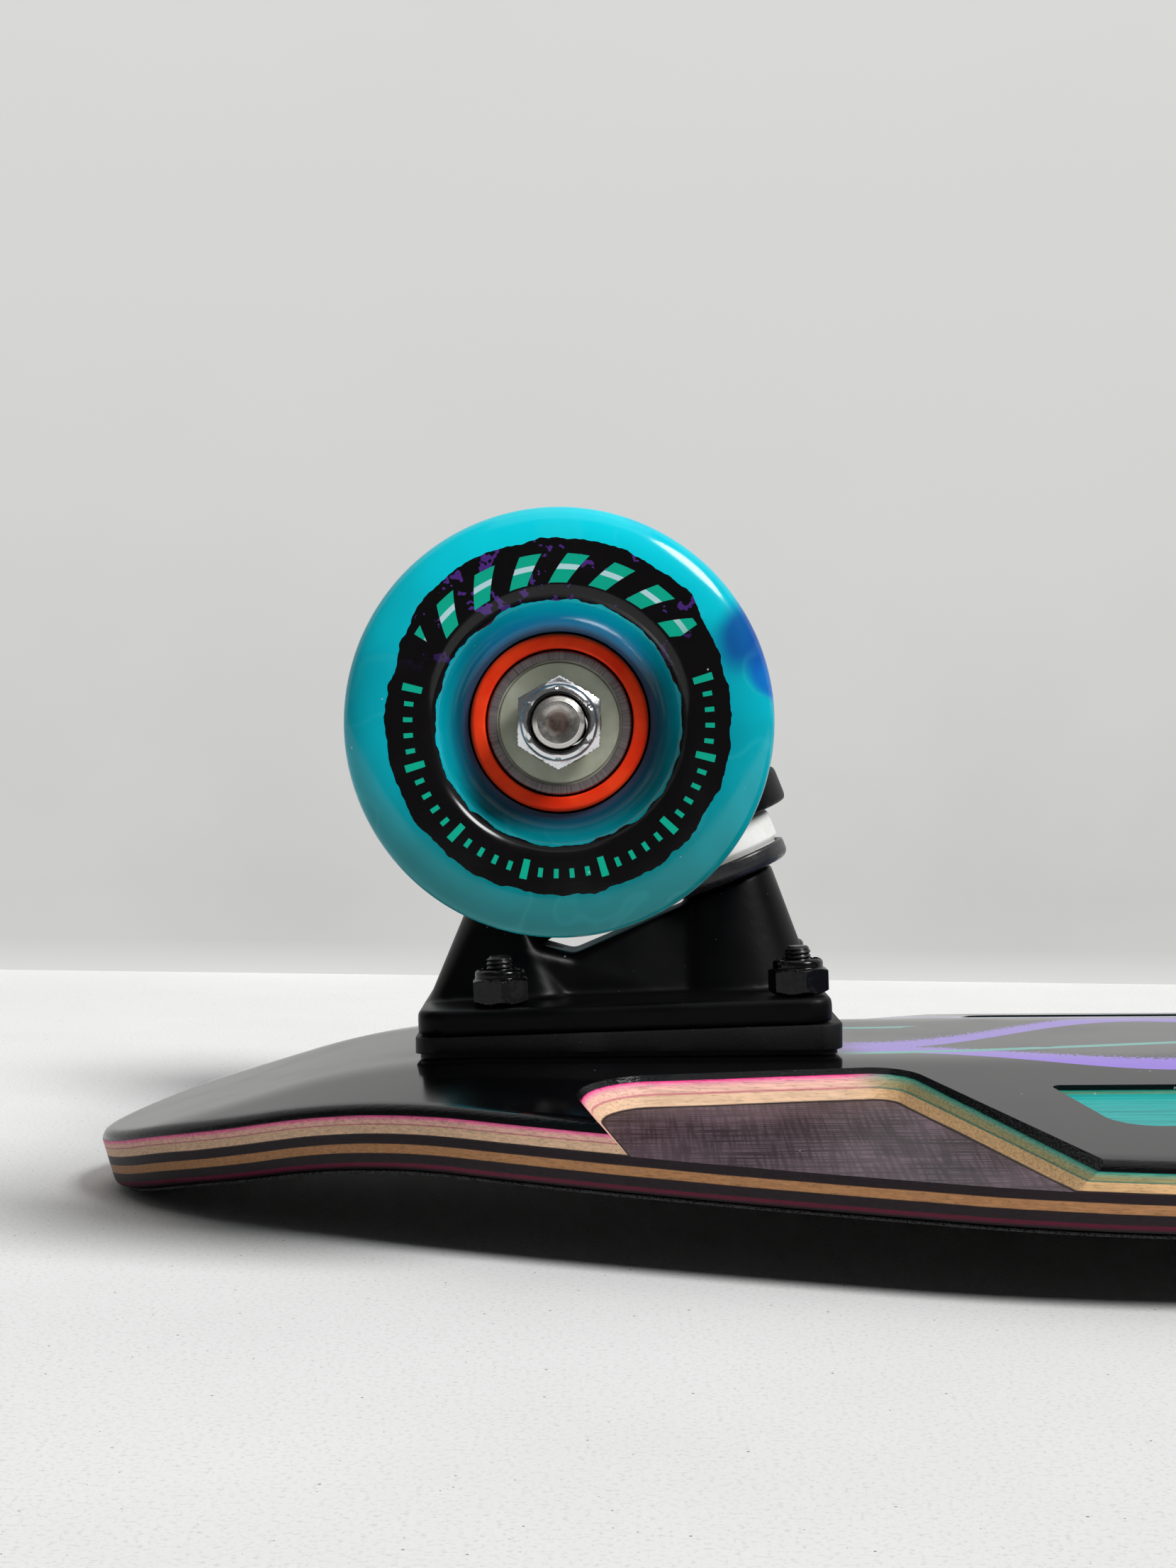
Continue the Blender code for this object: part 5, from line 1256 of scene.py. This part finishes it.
kingpin_nut_finish = build_nut_finish("kingpin_nut_black", shade(46, 46, 48), KINGPIN_FLATS,
                                      KINGPIN_NUT_HEIGHT + NUT_COLLAR_HEIGHT, 0.6)
for end in ENDS:
    place = truck_places[end] @ along_kingpin(0.0)
    bends = (end + "_truck_arm", "board", place @ Vector((0, 0, RING_HIGH)),
             place @ Vector((0, 0, HIGH_WASHER)))
    piece(end + "_roadside_cone", cone_bm.copy(), place, bushing_finish, bends,
          [end + "_roadside_bushing"])
    piece(end + "_roadside_flat_washer", flat_washer_bm.copy(), place, washer_finish, "board",
          [end + "_roadside_washer"])
    piece(end + "_kingpin_lock_nut", kingpin_nut_bm.copy(), truck_places[end] @ along_kingpin(KINGPIN_NUT),
          kingpin_nut_finish, "board", [end + "_kingpin_nut"])

# Mounting bolts: four black countersunk bolts with cross recesses per truck, heads flush in the grip, each
# with a black lock nut on the baseplate.
MOUNT_NUT_HEIGHT = 0.0048
MOUNT_NUT_COLLAR = 0.0015
BOLT_PROUD = 0.0023
BOLT_PITCH = 0.0008
BOLT_THREAD = 0.00028
BOLT_HEAD_LAND = 0.0003  # height of the straight rim of the head
CROSS_HALF_WIDTH = 0.00045
CROSS_REACH = 0.0022
CROSS_DEPTH = 0.0017
CROSS_PAST = 0.001  # how far its cutters stand out of the head
CROSS_TAPER = (0.45, 0.7, 1.0)
MOUNT_NUT_TURN = 0.06  # radians from one nut to the next


def bolt(head, tip):
    """One bolt: cone head at this height, shank up to the tip, a cross driven into the head."""
    body = lathe([(0.0, head), (BOLT_HEAD_RADIUS, head), (BOLT_HEAD_RADIUS, head + BOLT_HEAD_LAND),
                  (BOLT_RADIUS, head + BOLT_HEAD_HEIGHT), (BOLT_RADIUS, tip - ROD_CHAMFER),
                  (BOLT_RADIUS - ROD_CHAMFER, tip), (0.0, tip)], steps=48, longest=BOLT_PITCH / 6,
                 thread=(PLATE_THICKNESS, tip, BOLT_PITCH, BOLT_THREAD))
    arms = []
    for turn in (0.0, pi / 2):
        wide = np.array([(x, y, head - CROSS_PAST) for x in (-CROSS_REACH, CROSS_REACH)
                         for y in (-CROSS_HALF_WIDTH, CROSS_HALF_WIDTH)])
        slim = wide * CROSS_TAPER + (0.0, 0.0, CROSS_DEPTH + CROSS_PAST)
        arms.append(moved(hull(wide, slim), Matrix.Rotation(turn, 4, "Z")))
    for arm in arms:
        body = shaped(body, cutters=[arm])
    return body


def build_black_finish():
    """Black oxide on steel: dull sheen, slightly browner and worn brighter in specks."""
    made, tree, shader, own = new_finish("black_oxide")
    cloud = noise(tree, own, 700.0, 4.0, 0.65)
    worn = between(tree, cloud, 0.66, 0.76)
    colour = blend_of(tree, worn, shade(20, 20, 22), shade(110, 104, 98))
    bump = bumped(tree, 0.25, 0.0001, cloud)
    set_shader(tree, shader, {"Base Color": colour, "Metallic": 0.35, "Normal": bump,
                              "Roughness": between(tree, cloud, 0.3, 0.7, 0.24, 0.42)})
    return made


black_finish = build_black_finish()
mount_nut_bm = lock_nut(MOUNT_NUT_FLATS, MOUNT_NUT_HEIGHT, MOUNT_NUT_COLLAR, BOLT_RADIUS + FIT_GAP)
mount_nut_finish = build_nut_finish("mounting_nut_black", shade(20, 20, 22), MOUNT_NUT_FLATS,
                                    MOUNT_NUT_HEIGHT + MOUNT_NUT_COLLAR, 0.6)
nut_foot = PLATE_THICKNESS + FIT_GAP
bolt_tip = nut_foot + MOUNT_NUT_HEIGHT + MOUNT_NUT_COLLAR + BOLT_PROUD
for end in ENDS:
    for number, (s, y) in enumerate(bolt_spots, start=1):
        place = truck_places[end] @ Matrix.Translation((s, y, 0.0))
        piece(f"{end}_bolt_{number}_countersunk", bolt(-bolt_depth(end, s), bolt_tip), place, black_finish,
              "board", [f"{end}_bolt_{number}"])
        seated = place @ Matrix.Translation((0.0, 0.0, nut_foot))
        piece(f"{end}_bolt_{number}_lock_nut", mount_nut_bm.copy(),
              seated @ Matrix.Rotation(number * MOUNT_NUT_TURN, 4, "Z"), mount_nut_finish, "board",
              [f"{end}_bolt_nut_{number}"])

# Tyres: marbled teal and blue urethane cast round the core, glossy, with rounded shoulders and a dished
# recess. A black ring is printed on the outer side, marked here with a plain dial and flecks.
WHEEL_RADIUS = 0.0325
TREAD_HALF_WIDTH = 0.0155
WHEEL_HALF_WIDTH = 0.0190
SIDE_OUTER_RADIUS = 0.0262
SIDE_INNER_RADIUS = 0.0186
CORE_RADIUS = 0.01355
CORE_HALF_WIDTH = 0.0128
RECESS_STEP = 0.0012
RECESS_DRAFT = 0.0018
RECESS_COVE = 0.0035
SIDE_ROUND = 0.0030
SEAM_ROUND = 0.0002
SHOULDER_STEPS = 15
TYRE_STEPS = 192
MARBLE_TURN = 2.1  # radians from one wheel's marbling to the next
PRINT_INNER = 18.5  # radii of the printed ring and the dial's marks, in millimetres
PRINT_OUTER = 25.9
DIAL_MARKS = (21.9, 23.3)
DIAL_LONG_MARKS = (21.0, 24.0)
DIAL_BLOCKS = (20.9, 25.3)
DIAL_SHINE = (22.9, 23.7)


def tyre():
    """Half a section from the recess out to the tread, with an elliptical shoulder, and its mirror image."""
    floor = CORE_HALF_WIDTH - RECESS_STEP
    turn = np.linspace(pi / 2, 0.0, SHOULDER_STEPS)
    shoulder = np.column_stack([
        SIDE_OUTER_RADIUS + (WHEEL_RADIUS - SIDE_OUTER_RADIUS) * np.cos(turn),
        TREAD_HALF_WIDTH + (WHEEL_HALF_WIDTH - TREAD_HALF_WIDTH) * np.sin(turn)])
    half = [(CORE_RADIUS + FIT_GAP, floor), (SIDE_INNER_RADIUS - RECESS_DRAFT, floor),
            (SIDE_INNER_RADIUS, WHEEL_HALF_WIDTH), *map(tuple, shoulder)]
    radii = [SEAM_ROUND, RECESS_COVE, SIDE_ROUND] + [0.0] * len(shoulder)
    section = half + [(r, -z) for r, z in half[::-1]]
    return lathe(section, radii + radii[::-1], TYRE_STEPS, hollow=True)


def build_urethane_finish(name, seed):
    """Marbled urethane: warped clouds of blues and greens with one dark blue corner, turned by the seed, and
    the printed ring over them. As painted light, the clouds run from darker teal on one side to bright cyan
    on the other; on the wheel whose seed is 0 that is bottom to top. The dished recess is darkened as painted
    shade, with its top lighter as painted light, and a dim ring round the core is a painted reflection of it."""
    made, tree, shader, own = new_finish(name)
    turned = add_node(tree, "VectorRotate", {"Vector": own, "Angle": seed}, rotation_type="Z_AXIS").outputs[0]
    warp = add_node(tree, "TexNoise", {"Vector": turned, "Scale": 30.0, "Detail": 2.0})
    push = add_node(tree, "VectorMath", {0: warp.outputs["Color"], 1: (0.5, 0.5, 0.5)}, operation="SUBTRACT")
    carried = add_node(tree, "VectorMath", {0: push.outputs[0], 1: (0.03, 0.03, 0.02), 2: turned},
                       operation="MULTIPLY_ADD").outputs[0]
    east, north, _ = add_node(tree, "SeparateXYZ", {0: carried}).outputs
    z = add_node(tree, "SeparateXYZ", {0: own}).outputs[2]
    flat = stretched(tree, own, 1, 1, 0)
    radius = times(tree, radius_of(tree, own), 1000.0)

    swirl = less(tree, noise(tree, carried, 60.0, 2.0, 0.45), 0.5)
    veil = between(tree, figure(tree, "ABSOLUTE", swirl), 0.0, 0.030, 0.06, 0.0)
    # Painted light: the clouds run from darker teal at the bottom to bright cyan at the top, turned with the
    # seed.
    rise = figure(tree, "MULTIPLY_ADD", swirl, 0.024, north)
    low = blend_of(tree, between(tree, rise, -0.026, 0.000), shade(0, 124, 130), shade(0, 172, 190))
    high = blend_of(tree, between(tree, rise, 0.004, 0.030), low, shade(4, 216, 234))
    corner = plus(tree, times(tree, east, 0.90), times(tree, north, 0.44))
    corner = figure(tree, "MULTIPLY_ADD", swirl, 0.020, corner)
    marbled = blend_of(tree, between(tree, corner, 0.0272, 0.0316, 0.0, 0.9), high, shade(14, 96, 186))
    spot = add_node(tree, "VectorMath", {0: stretched(tree, carried, 1, 1, 0), 1: (0.0262, 0.0122, 0.0)},
                    operation="DISTANCE").outputs[1]
    marbled = blend_of(tree, between(tree, spot, 0.0025, 0.0075, 0.85, 0.0), marbled, shade(14, 56, 148))
    marbled = blend_of(tree, veil, marbled, shade(90, 220, 226))
    # Painted shade: the dished recess is darkened towards deep teal-blue, with its top lighter as painted
    # light.
    recess_shade = between(tree, radius, 15.2, 18.8, 1.0, 0.0)
    deep = blend_of(tree, between(tree, north, 0.004, 0.015), shade(0, 58, 84), shade(0, 146, 208))
    marbled = blend_of(tree, times(tree, recess_shade, 0.92), marbled, deep)
    # Painted reflection: a dim purple-grey ring just outside the core stands for the core seen in the
    # urethane.
    painted_core_reflection = between(tree, radius, 14.2, 15.2, 0.7, 0.0)
    marbled = blend_of(tree, painted_core_reflection, marbled, shade(70, 66, 96))

    way = add_node(tree, "VectorMath", {0: flat}, operation="NORMALIZE").outputs[0]
    ragged = less(tree, noise(tree, way, 4.6, 3.0, 0.55), 0.5)
    ragged_in = less(tree, noise(tree, stretched(tree, way, -1, 1, 1), 4.2, 3.0, 0.5), 0.5)
    wx, wy, _ = add_node(tree, "SeparateXYZ", {0: way}).outputs
    crown = between(tree, wy, 0.35, 0.75)
    outer = plus(tree, figure(tree, "MULTIPLY_ADD", ragged, 2.4, PRINT_OUTER), times(tree, crown, 1.6))
    inner = figure(tree, "MULTIPLY_ADD", ragged_in, 2.0, PRINT_INNER)
    ring = times(tree, figure(tree, "LESS_THAN", radius, outer),
                 figure(tree, "GREATER_THAN", radius, inner))
    front = figure(tree, "GREATER_THAN", z, 0.010)
    ring = times(tree, ring, front)

    angle = times(tree, figure(tree, "ARCTAN2", wy, wx), 1 / (2 * pi))

    def marks(count, share, low, high, slant=0.0):
        """Bars on the dial: so many in a turn, filling this share of it, between two radii."""
        place = figure(tree, "MULTIPLY_ADD", angle, count, times(tree, radius, slant))
        cell = figure(tree, "ABSOLUTE", less(tree, figure(tree, "FRACT", place), 0.5))
        bar = figure(tree, "LESS_THAN", cell, share / 2)
        above, under = figure(tree, "GREATER_THAN", radius, low), figure(tree, "LESS_THAN", radius, high)
        return times(tree, bar, times(tree, above, under))

    dial = figure(tree, "MAXIMUM", marks(60.0, 0.30, *DIAL_MARKS), marks(12.0, 0.09, *DIAL_LONG_MARKS))
    dial = times(tree, dial, figure(tree, "LESS_THAN", wy, 0.34))
    blocks = times(tree, marks(22.0, 0.46, *DIAL_BLOCKS, 0.10), crown)
    shine = times(tree, blocks, marks(22.0, 0.46, *DIAL_SHINE, 0.10))
    teal = times(tree, figure(tree, "MAXIMUM", dial, figure(tree, "GREATER_THAN", blocks, 0.5)), ring)
    flecks = figure(tree, "GREATER_THAN", noise(tree, own, 260.0, 3.0, 0.7), 0.60)
    flecks = times(tree, times(tree, flecks, ring), crown)
    printed = blend_of(tree, ring, marbled, shade(8, 6, 8))
    printed = blend_of(tree, times(tree, flecks, 0.8), printed, shade(86, 48, 138))
    printed = blend_of(tree, teal, printed, shade(10, 176, 146))
    printed = blend_of(tree, times(tree, shine, teal), printed, shade(188, 226, 232))
    dust = specks(tree, own, 800.0, 0.020)
    colour = blend_of(tree, times(tree, dust, 0.6), printed, shade(205, 222, 222))

    smear = noise(tree, own, 90.0, 3.0)
    bump = bumped(tree, 0.12, 0.0003, plus(tree, rings_of(tree, own, 420.0), smear))
    set_shader(tree, shader, {"Base Color": colour, "Normal": bump, "Specular IOR Level": 0.35,
                              "Roughness": between(tree, smear, 0.4, 0.75, 0.12, 0.26)})
    return made


tyre_bm = tyre()
for number, (end, side) in enumerate(wheel_places):
    piece(f"{end}_{side}_tyre_urethane", tyre_bm.copy(), wheel_places[end, side],
          build_urethane_finish(f"urethane_{end}_{side}", (number - 1) * MARBLE_TURN), f"{end}_{side}_wheel",
          [f"{end}_{side}_tyre"])

# Cores: an orange hub moulded from stiff plastic in each wheel, with the tyre cast round it. A rib inside
# keeps the two bearings apart, which are pressed in from either side.
BEARING_RADIUS = 0.0110
BEARING_WIDTH = 0.0070
CORE_SHOULDER = 0.0094
CORE_STEPS = 128


def build_core_finish():
    """Orange-red moulded plastic, satin, with fine flow marks and dust specks."""
    made, tree, shader, own = new_finish("core_plastic")
    cloud = noise(tree, own, 180.0, 3.0)
    dust = specks(tree, own, 1600.0, 0.04)
    base = blend_of(tree, between(tree, cloud, 0.3, 0.7), shade(238, 48, 16), shade(250, 66, 24))
    colour = blend_of(tree, times(tree, dust, 0.3), base, shade(120, 60, 46))
    height = plus(tree, noise(tree, own, 2200.0, 2.0), rings_of(tree, own, 900.0))
    bump = bumped(tree, 0.15, 0.0001, height)
    set_shader(tree, shader, {"Base Color": colour, "Roughness": between(tree, cloud, 0.3, 0.7, 0.36, 0.48),
                              "Normal": bump, "Specular IOR Level": 0.12})
    return made


seat = BEARING_RADIUS + FIT_GAP
shoulder = BEARING_SPACING / 2 - BEARING_WIDTH - FIT_GAP
core_half = [(CORE_SHOULDER, shoulder), (seat, shoulder), (seat, CORE_HALF_WIDTH),
             (CORE_RADIUS, CORE_HALF_WIDTH)]
core_radii = [0.0003, 0.0002, 0.0004, 0.0007]
core_bm = lathe(core_half + [(r, -z) for r, z in core_half[::-1]], core_radii + core_radii[::-1],
                CORE_STEPS, hollow=True)
core_finish = build_core_finish()
for end, side in wheel_places:
    piece(f"{end}_{side}_core_hub", core_bm.copy(), wheel_places[end, side], core_finish,
          f"{end}_{side}_wheel", [f"{end}_{side}_core"])

# Bearings: two sealed ball bearings in each core, with a ground outer race, a coated shield snapped into a
# groove and a narrow inner race round the axle.
BEARING_RECESS = 0.0005
RACE_WIDTH = 0.0014
INNER_RACE_RADIUS = 0.0059
SHIELD_STEP = 0.0003  # depth of the groove that holds the shield's rim
SHIELD_RIM = 0.0004
SHIELD_ROLL = 0.0005
BEARING_STEPS = 112
AXLE_BORE = AXLE_RADIUS + FIT_GAP


def bearing():
    """The section from the bore out and back, the shield dished between the races, z away from the core's
    rib."""
    face, back = BEARING_SPACING / 2, BEARING_SPACING / 2 - BEARING_WIDTH
    race, shield = BEARING_RADIUS - RACE_WIDTH, BEARING_SPACING / 2 - BEARING_RECESS
    section = [
        (AXLE_BORE, back), (BEARING_RADIUS, back), (BEARING_RADIUS, face), (race, face),
        (race, shield - SHIELD_STEP), (race - SHIELD_STEP, shield - SHIELD_STEP), (race - SHIELD_RIM, shield),
        (INNER_RACE_RADIUS + SHIELD_ROLL, shield), (INNER_RACE_RADIUS + SHIELD_RIM, shield - SHIELD_RIM),
        (INNER_RACE_RADIUS, shield - SHIELD_RIM), (INNER_RACE_RADIUS, face), (AXLE_BORE, face)]
    radii = [0.0003, 0.0004, 0.0004, 0.0001, 0.00005, 0.00005, 0.00015, 0.0001, 0.00005, 0.00005, 0.0002,
             0.0003]
    return lathe(section, radii, BEARING_STEPS, hollow=True)


def build_bearing_finish():
    """Ground race with scratches across it, grey-green shield with a thin darker ring near its rim, bright
    inner race."""
    made, tree, shader, own = new_finish("bearing_steel")
    radius = times(tree, radius_of(tree, own), 1000.0)
    way = add_node(tree, "VectorMath", {0: stretched(tree, own, 1, 1, 0)}, operation="NORMALIZE").outputs[0]
    scratch = noise(tree, way, 48.0, 3.0, 0.7)
    race = blend_of(tree, between(tree, scratch, 0.3, 0.7), shade(98, 88, 90), shade(140, 132, 132))
    cloud = noise(tree, own, 300.0, 4.0)
    shield = blend_of(tree, between(tree, cloud, 0.35, 0.7), shade(166, 168, 148), shade(180, 182, 164))
    # A thin darker ring on the shield, near its rim.
    shield_dark_ring = figure(tree, "LESS_THAN", figure(tree, "ABSOLUTE", less(tree, radius, 9.12)), 0.05)
    shield = blend_of(tree, times(tree, shield_dark_ring, 0.6), shield, shade(100, 98, 86))
    on_race = figure(tree, "GREATER_THAN", radius, (BEARING_RADIUS - RACE_WIDTH) * 1000 - 0.05)
    on_hub = figure(tree, "LESS_THAN", radius, INNER_RACE_RADIUS * 1000 + 0.05)
    colour = blend_of(tree, on_race, blend_of(tree, on_hub, shield, shade(150, 148, 146)), race)
    metal = figure(tree, "MULTIPLY_ADD", figure(tree, "MAXIMUM", on_race, on_hub), 0.5, 0.1)
    bump = bumped(tree, 0.2, 0.0001, rings_of(tree, own, 1800.0))
    set_shader(tree, shader, {"Base Color": colour, "Metallic": metal, "Normal": bump,
                              "Roughness": between(tree, cloud, 0.3, 0.7, 0.36, 0.50)})
    return made


bearing_bm = bearing()
bearing_finish = build_bearing_finish()
for end, side in wheel_places:
    for which, turn in (("outer", 0.0), ("inner", pi)):
        piece(f"{end}_{side}_{which}_bearing_sealed", bearing_bm.copy(),
              wheel_places[end, side] @ Matrix.Rotation(turn, 4, "X"), bearing_finish, f"{end}_{side}_wheel",
              [f"{end}_{side}_{which}_bearing"])

# Speed washers and axle nuts: a thin steel washer fills the gap at each side of a wheel, and a bright plated
# lock nut holds the wheel on. They turn with the hanger, not with the wheel.
SPEED_WASHER_RADIUS = 0.0056
SPEED_WASHER_GAP = 0.0001
AXLE_NUT_TURN = -0.05

speed_washer_bm = lathe(
    [(AXLE_BORE, SPEED_WASHER_GAP), (SPEED_WASHER_RADIUS, SPEED_WASHER_GAP),
     (SPEED_WASHER_RADIUS, WASHER_GAP - SPEED_WASHER_GAP), (AXLE_BORE, WASHER_GAP - SPEED_WASHER_GAP)],
    [0.0001, 0.0003, 0.0003, 0.0001], hollow=True)
axle_nut_bm = lock_nut(AXLE_NUT_FLATS, AXLE_NUT_HEIGHT, AXLE_NUT_COLLAR, AXLE_BORE)
chrome_finish = build_nut_finish("nut_chrome", shade(222, 222, 224), AXLE_NUT_FLATS,
                                 AXLE_NUT_HEIGHT + AXLE_NUT_COLLAR, 1.0)
for end, side in wheel_places:
    for which, turn in (("outer", 0.0), ("inner", pi)):
        place = wheel_places[end, side] @ Matrix.Rotation(turn, 4, "X")
        place = place @ Matrix.Translation((0.0, 0.0, BEARING_SPACING / 2))
        piece(f"{end}_{side}_{which}_speed_washer", speed_washer_bm.copy(), place, steel_finish,
              end + "_truck_arm")
    place = wheel_places[end, side] @ Matrix.Translation((0.0, 0.0, BEARING_SPACING / 2 + WASHER_GAP))
    piece(f"{end}_{side}_axle_lock_nut", axle_nut_bm.copy(), place @ Matrix.Rotation(AXLE_NUT_TURN, 4, "Z"),
          chrome_finish, end + "_truck_arm", [f"{end}_{side}_axle_nut"])

# Camera at the photograph's place: level with the axle and square to the near wheel, under half a metre
# from the board's middle plane. Its focal length, aim and roll were fitted to the photograph.
CAMERA_DISTANCE = 0.4710  # from the board's middle plane
CAMERA_ALONG = 0.00455  # from the axle towards the tail
CAMERA_RISE = -0.0019  # from the axle
FOCAL_PIXELS = 3514.6
IMAGE_HEIGHT = 2212.0
SENSOR = 36.0
CAMERA_YAW = radians(-0.013)
CAMERA_PITCH = radians(1.114)
CAMERA_ROLL = radians(0.727)

axle = Vector(joints["front_right_spin"]["pos_m"])
camera_data = bpy.data.cameras.new("camera")
camera_data.sensor_width = SENSOR
camera_data.lens = FOCAL_PIXELS / IMAGE_HEIGHT * SENSOR
camera_data.clip_start = 0.01
camera_data.clip_end = 50.0
camera = bpy.data.objects.new("camera", camera_data)
bpy.context.scene.collection.objects.link(camera)
bpy.context.scene.camera = camera
ahead = Vector((sin(CAMERA_YAW) * cos(CAMERA_PITCH), cos(CAMERA_YAW) * cos(CAMERA_PITCH), -sin(CAMERA_PITCH)))
level = ahead.cross(Vector((0.0, 0.0, 1.0))).normalized()
over = level.cross(ahead)
camera_right = level * cos(CAMERA_ROLL) + over * sin(CAMERA_ROLL)
camera_up = over * cos(CAMERA_ROLL) - level * sin(CAMERA_ROLL)
camera_spot = Vector((axle.x + CAMERA_ALONG, -CAMERA_DISTANCE, axle.z + CAMERA_RISE))
camera.matrix_world = placed(camera_right, camera_up, -ahead, camera_spot)

# Studio: a plain pale floor and wall, seen from their fronts only, so that neither hides the board in the
# other views; a soft sun from above, in front and to the right, a broad dim lamp overhead, and a dark sky
# that the camera sees as pale and reflections as a little brighter. The camera and reflections see the wall
# as a glow with painted shade, darkest a few centimetres above the floor and lighter higher up.
WALL_BEHIND = 0.415
FLOOR_FRONT = 0.55
FLOOR_SIZE = 8.0
SUN_FROM = (0.562, -0.436, 0.703)
SUN_STRENGTH = 3.2
SUN_WIDTH = radians(22.0)
FILL_SPOT = (-0.20, -0.25, 1.30)
FILL_AIM = (-0.20, -0.10, 0.05)
FILL_SIZE = 1.0
FILL_POWER = 2.4
SKY_COLOUR = (0.80, 0.80, 0.80, 1.0)
SKY_STRENGTH = 0.025
SKY_SHINE = 0.12  # more for reflections


def build_stage_finish(name, colour, mottle, sand, height=None):
    """Plain plaster or concrete: one pale colour with faint mottling and fine sand in it, clear from behind.
    A height gives (height, colour) stops over the lowest metre, which the camera and reflections see instead
    as a glow, so that painted shade can be given by height."""
    made, tree, shader, _ = new_finish(name)
    spot = add_node(tree, "TexCoord").outputs["Object"]
    cloud = noise(tree, spot, 5.0, 5.0, 0.6)
    fine = noise(tree, spot, 1250.0, 3.0, 0.7)
    grains = times(tree, specks(tree, spot, 720.0, 0.11), sand)
    pale = blend_of(tree, between(tree, cloud, 0.3, 0.7), colour, mottle)
    sandy = blend_of(tree, between(tree, fine, 0.50, 0.72, 0.0, sand * 0.5), pale, shade(176, 172, 166))
    sandy = blend_of(tree, grains, sandy, shade(70, 62, 56))
    set_shader(tree, shader, {"Base Color": sandy, "Roughness": 0.85})
    surface = shader.outputs[0]
    if height:
        up = add_node(tree, "SeparateXYZ", {0: spot}).outputs[2]
        glow = add_node(tree, "Emission", {0: blend_of(tree, between(tree, cloud, 0.3, 0.7, 0.0, 0.5),
                                                       bands(tree, up, height), mottle)})
        path = add_node(tree, "LightPath").outputs
        seen = figure(tree, "MAXIMUM", path["Is Camera Ray"], path["Is Glossy Ray"])
        surface = add_node(tree, "MixShader", {0: seen, 1: surface, 2: glow.outputs[0]}).outputs[0]
    clear = add_node(tree, "BsdfTransparent")
    backface = add_node(tree, "NewGeometry").outputs["Backfacing"]
    mix = add_node(tree, "MixShader", {0: backface, 1: surface, 2: clear.outputs[0]})
    tree.links.new(mix.outputs[0], tree.nodes["Material Output"].inputs[0])
    return made


def stage_plane(name, corners, finish):
    """A flat four-cornered stage piece."""
    mesh = bpy.data.meshes.new(name)
    mesh.from_pydata(corners, [], [(0, 1, 2, 3)])
    mesh.materials.append(finish)
    made = bpy.data.objects.new(name, mesh)
    bpy.context.scene.collection.objects.link(made)


far = FLOOR_SIZE / 2
stage_plane("floor", [(-far, -FLOOR_FRONT, 0.0), (far, -FLOOR_FRONT, 0.0), (far, far, 0.0), (-far, far, 0.0)],
            build_stage_finish("floor_concrete", shade(236, 236, 235), shade(228, 228, 227), 0.85))
# Painted shade: the wall's glow is darkest a few centimetres above the floor and lighter higher up.
stage_plane("wall", [(-far, WALL_BEHIND, 0.0), (far, WALL_BEHIND, 0.0), (far, WALL_BEHIND, far),
                     (-far, WALL_BEHIND, far)],
            build_stage_finish("wall_concrete", shade(224, 224, 224), shade(214, 214, 213), 0.0, [
                (0.0, shade(222, 222, 221)), (0.012, shade(200, 200, 199)), (0.03, shade(198, 198, 197)),
                (0.17, shade(210, 210, 209)), (0.36, shade(218, 218, 217))]))


def lamp(name, kind, spot, aim, power):
    """A lamp at a spot, turned to an aim: its data."""
    data = bpy.data.lights.new(name, kind)
    data.energy = power
    made = bpy.data.objects.new(name, data)
    bpy.context.scene.collection.objects.link(made)
    made.matrix_world = (Vector(spot) - Vector(aim)).to_track_quat("Z", "Y").to_matrix().to_4x4()
    made.matrix_world.translation = Vector(spot)
    return data


lamp("sun", "SUN", SUN_FROM, (0.0, 0.0, 0.0), SUN_STRENGTH).angle = SUN_WIDTH
lamp("fill", "AREA", FILL_SPOT, FILL_AIM, FILL_POWER).size = FILL_SIZE
world = bpy.data.worlds.new("sky")
bpy.context.scene.world = world
world.use_nodes = True
sky = world.node_tree.nodes["Background"]
sky.inputs["Color"].default_value = SKY_COLOUR
path = add_node(world.node_tree, "LightPath").outputs
sky_strength = figure(world.node_tree, "MULTIPLY_ADD", path["Is Glossy Ray"], SKY_SHINE, SKY_STRENGTH)
sky_strength = plus(world.node_tree, sky_strength, path["Is Camera Ray"])
world.node_tree.links.new(sky_strength, sky.inputs["Strength"])
bpy.context.scene.view_settings.view_transform = "Standard"
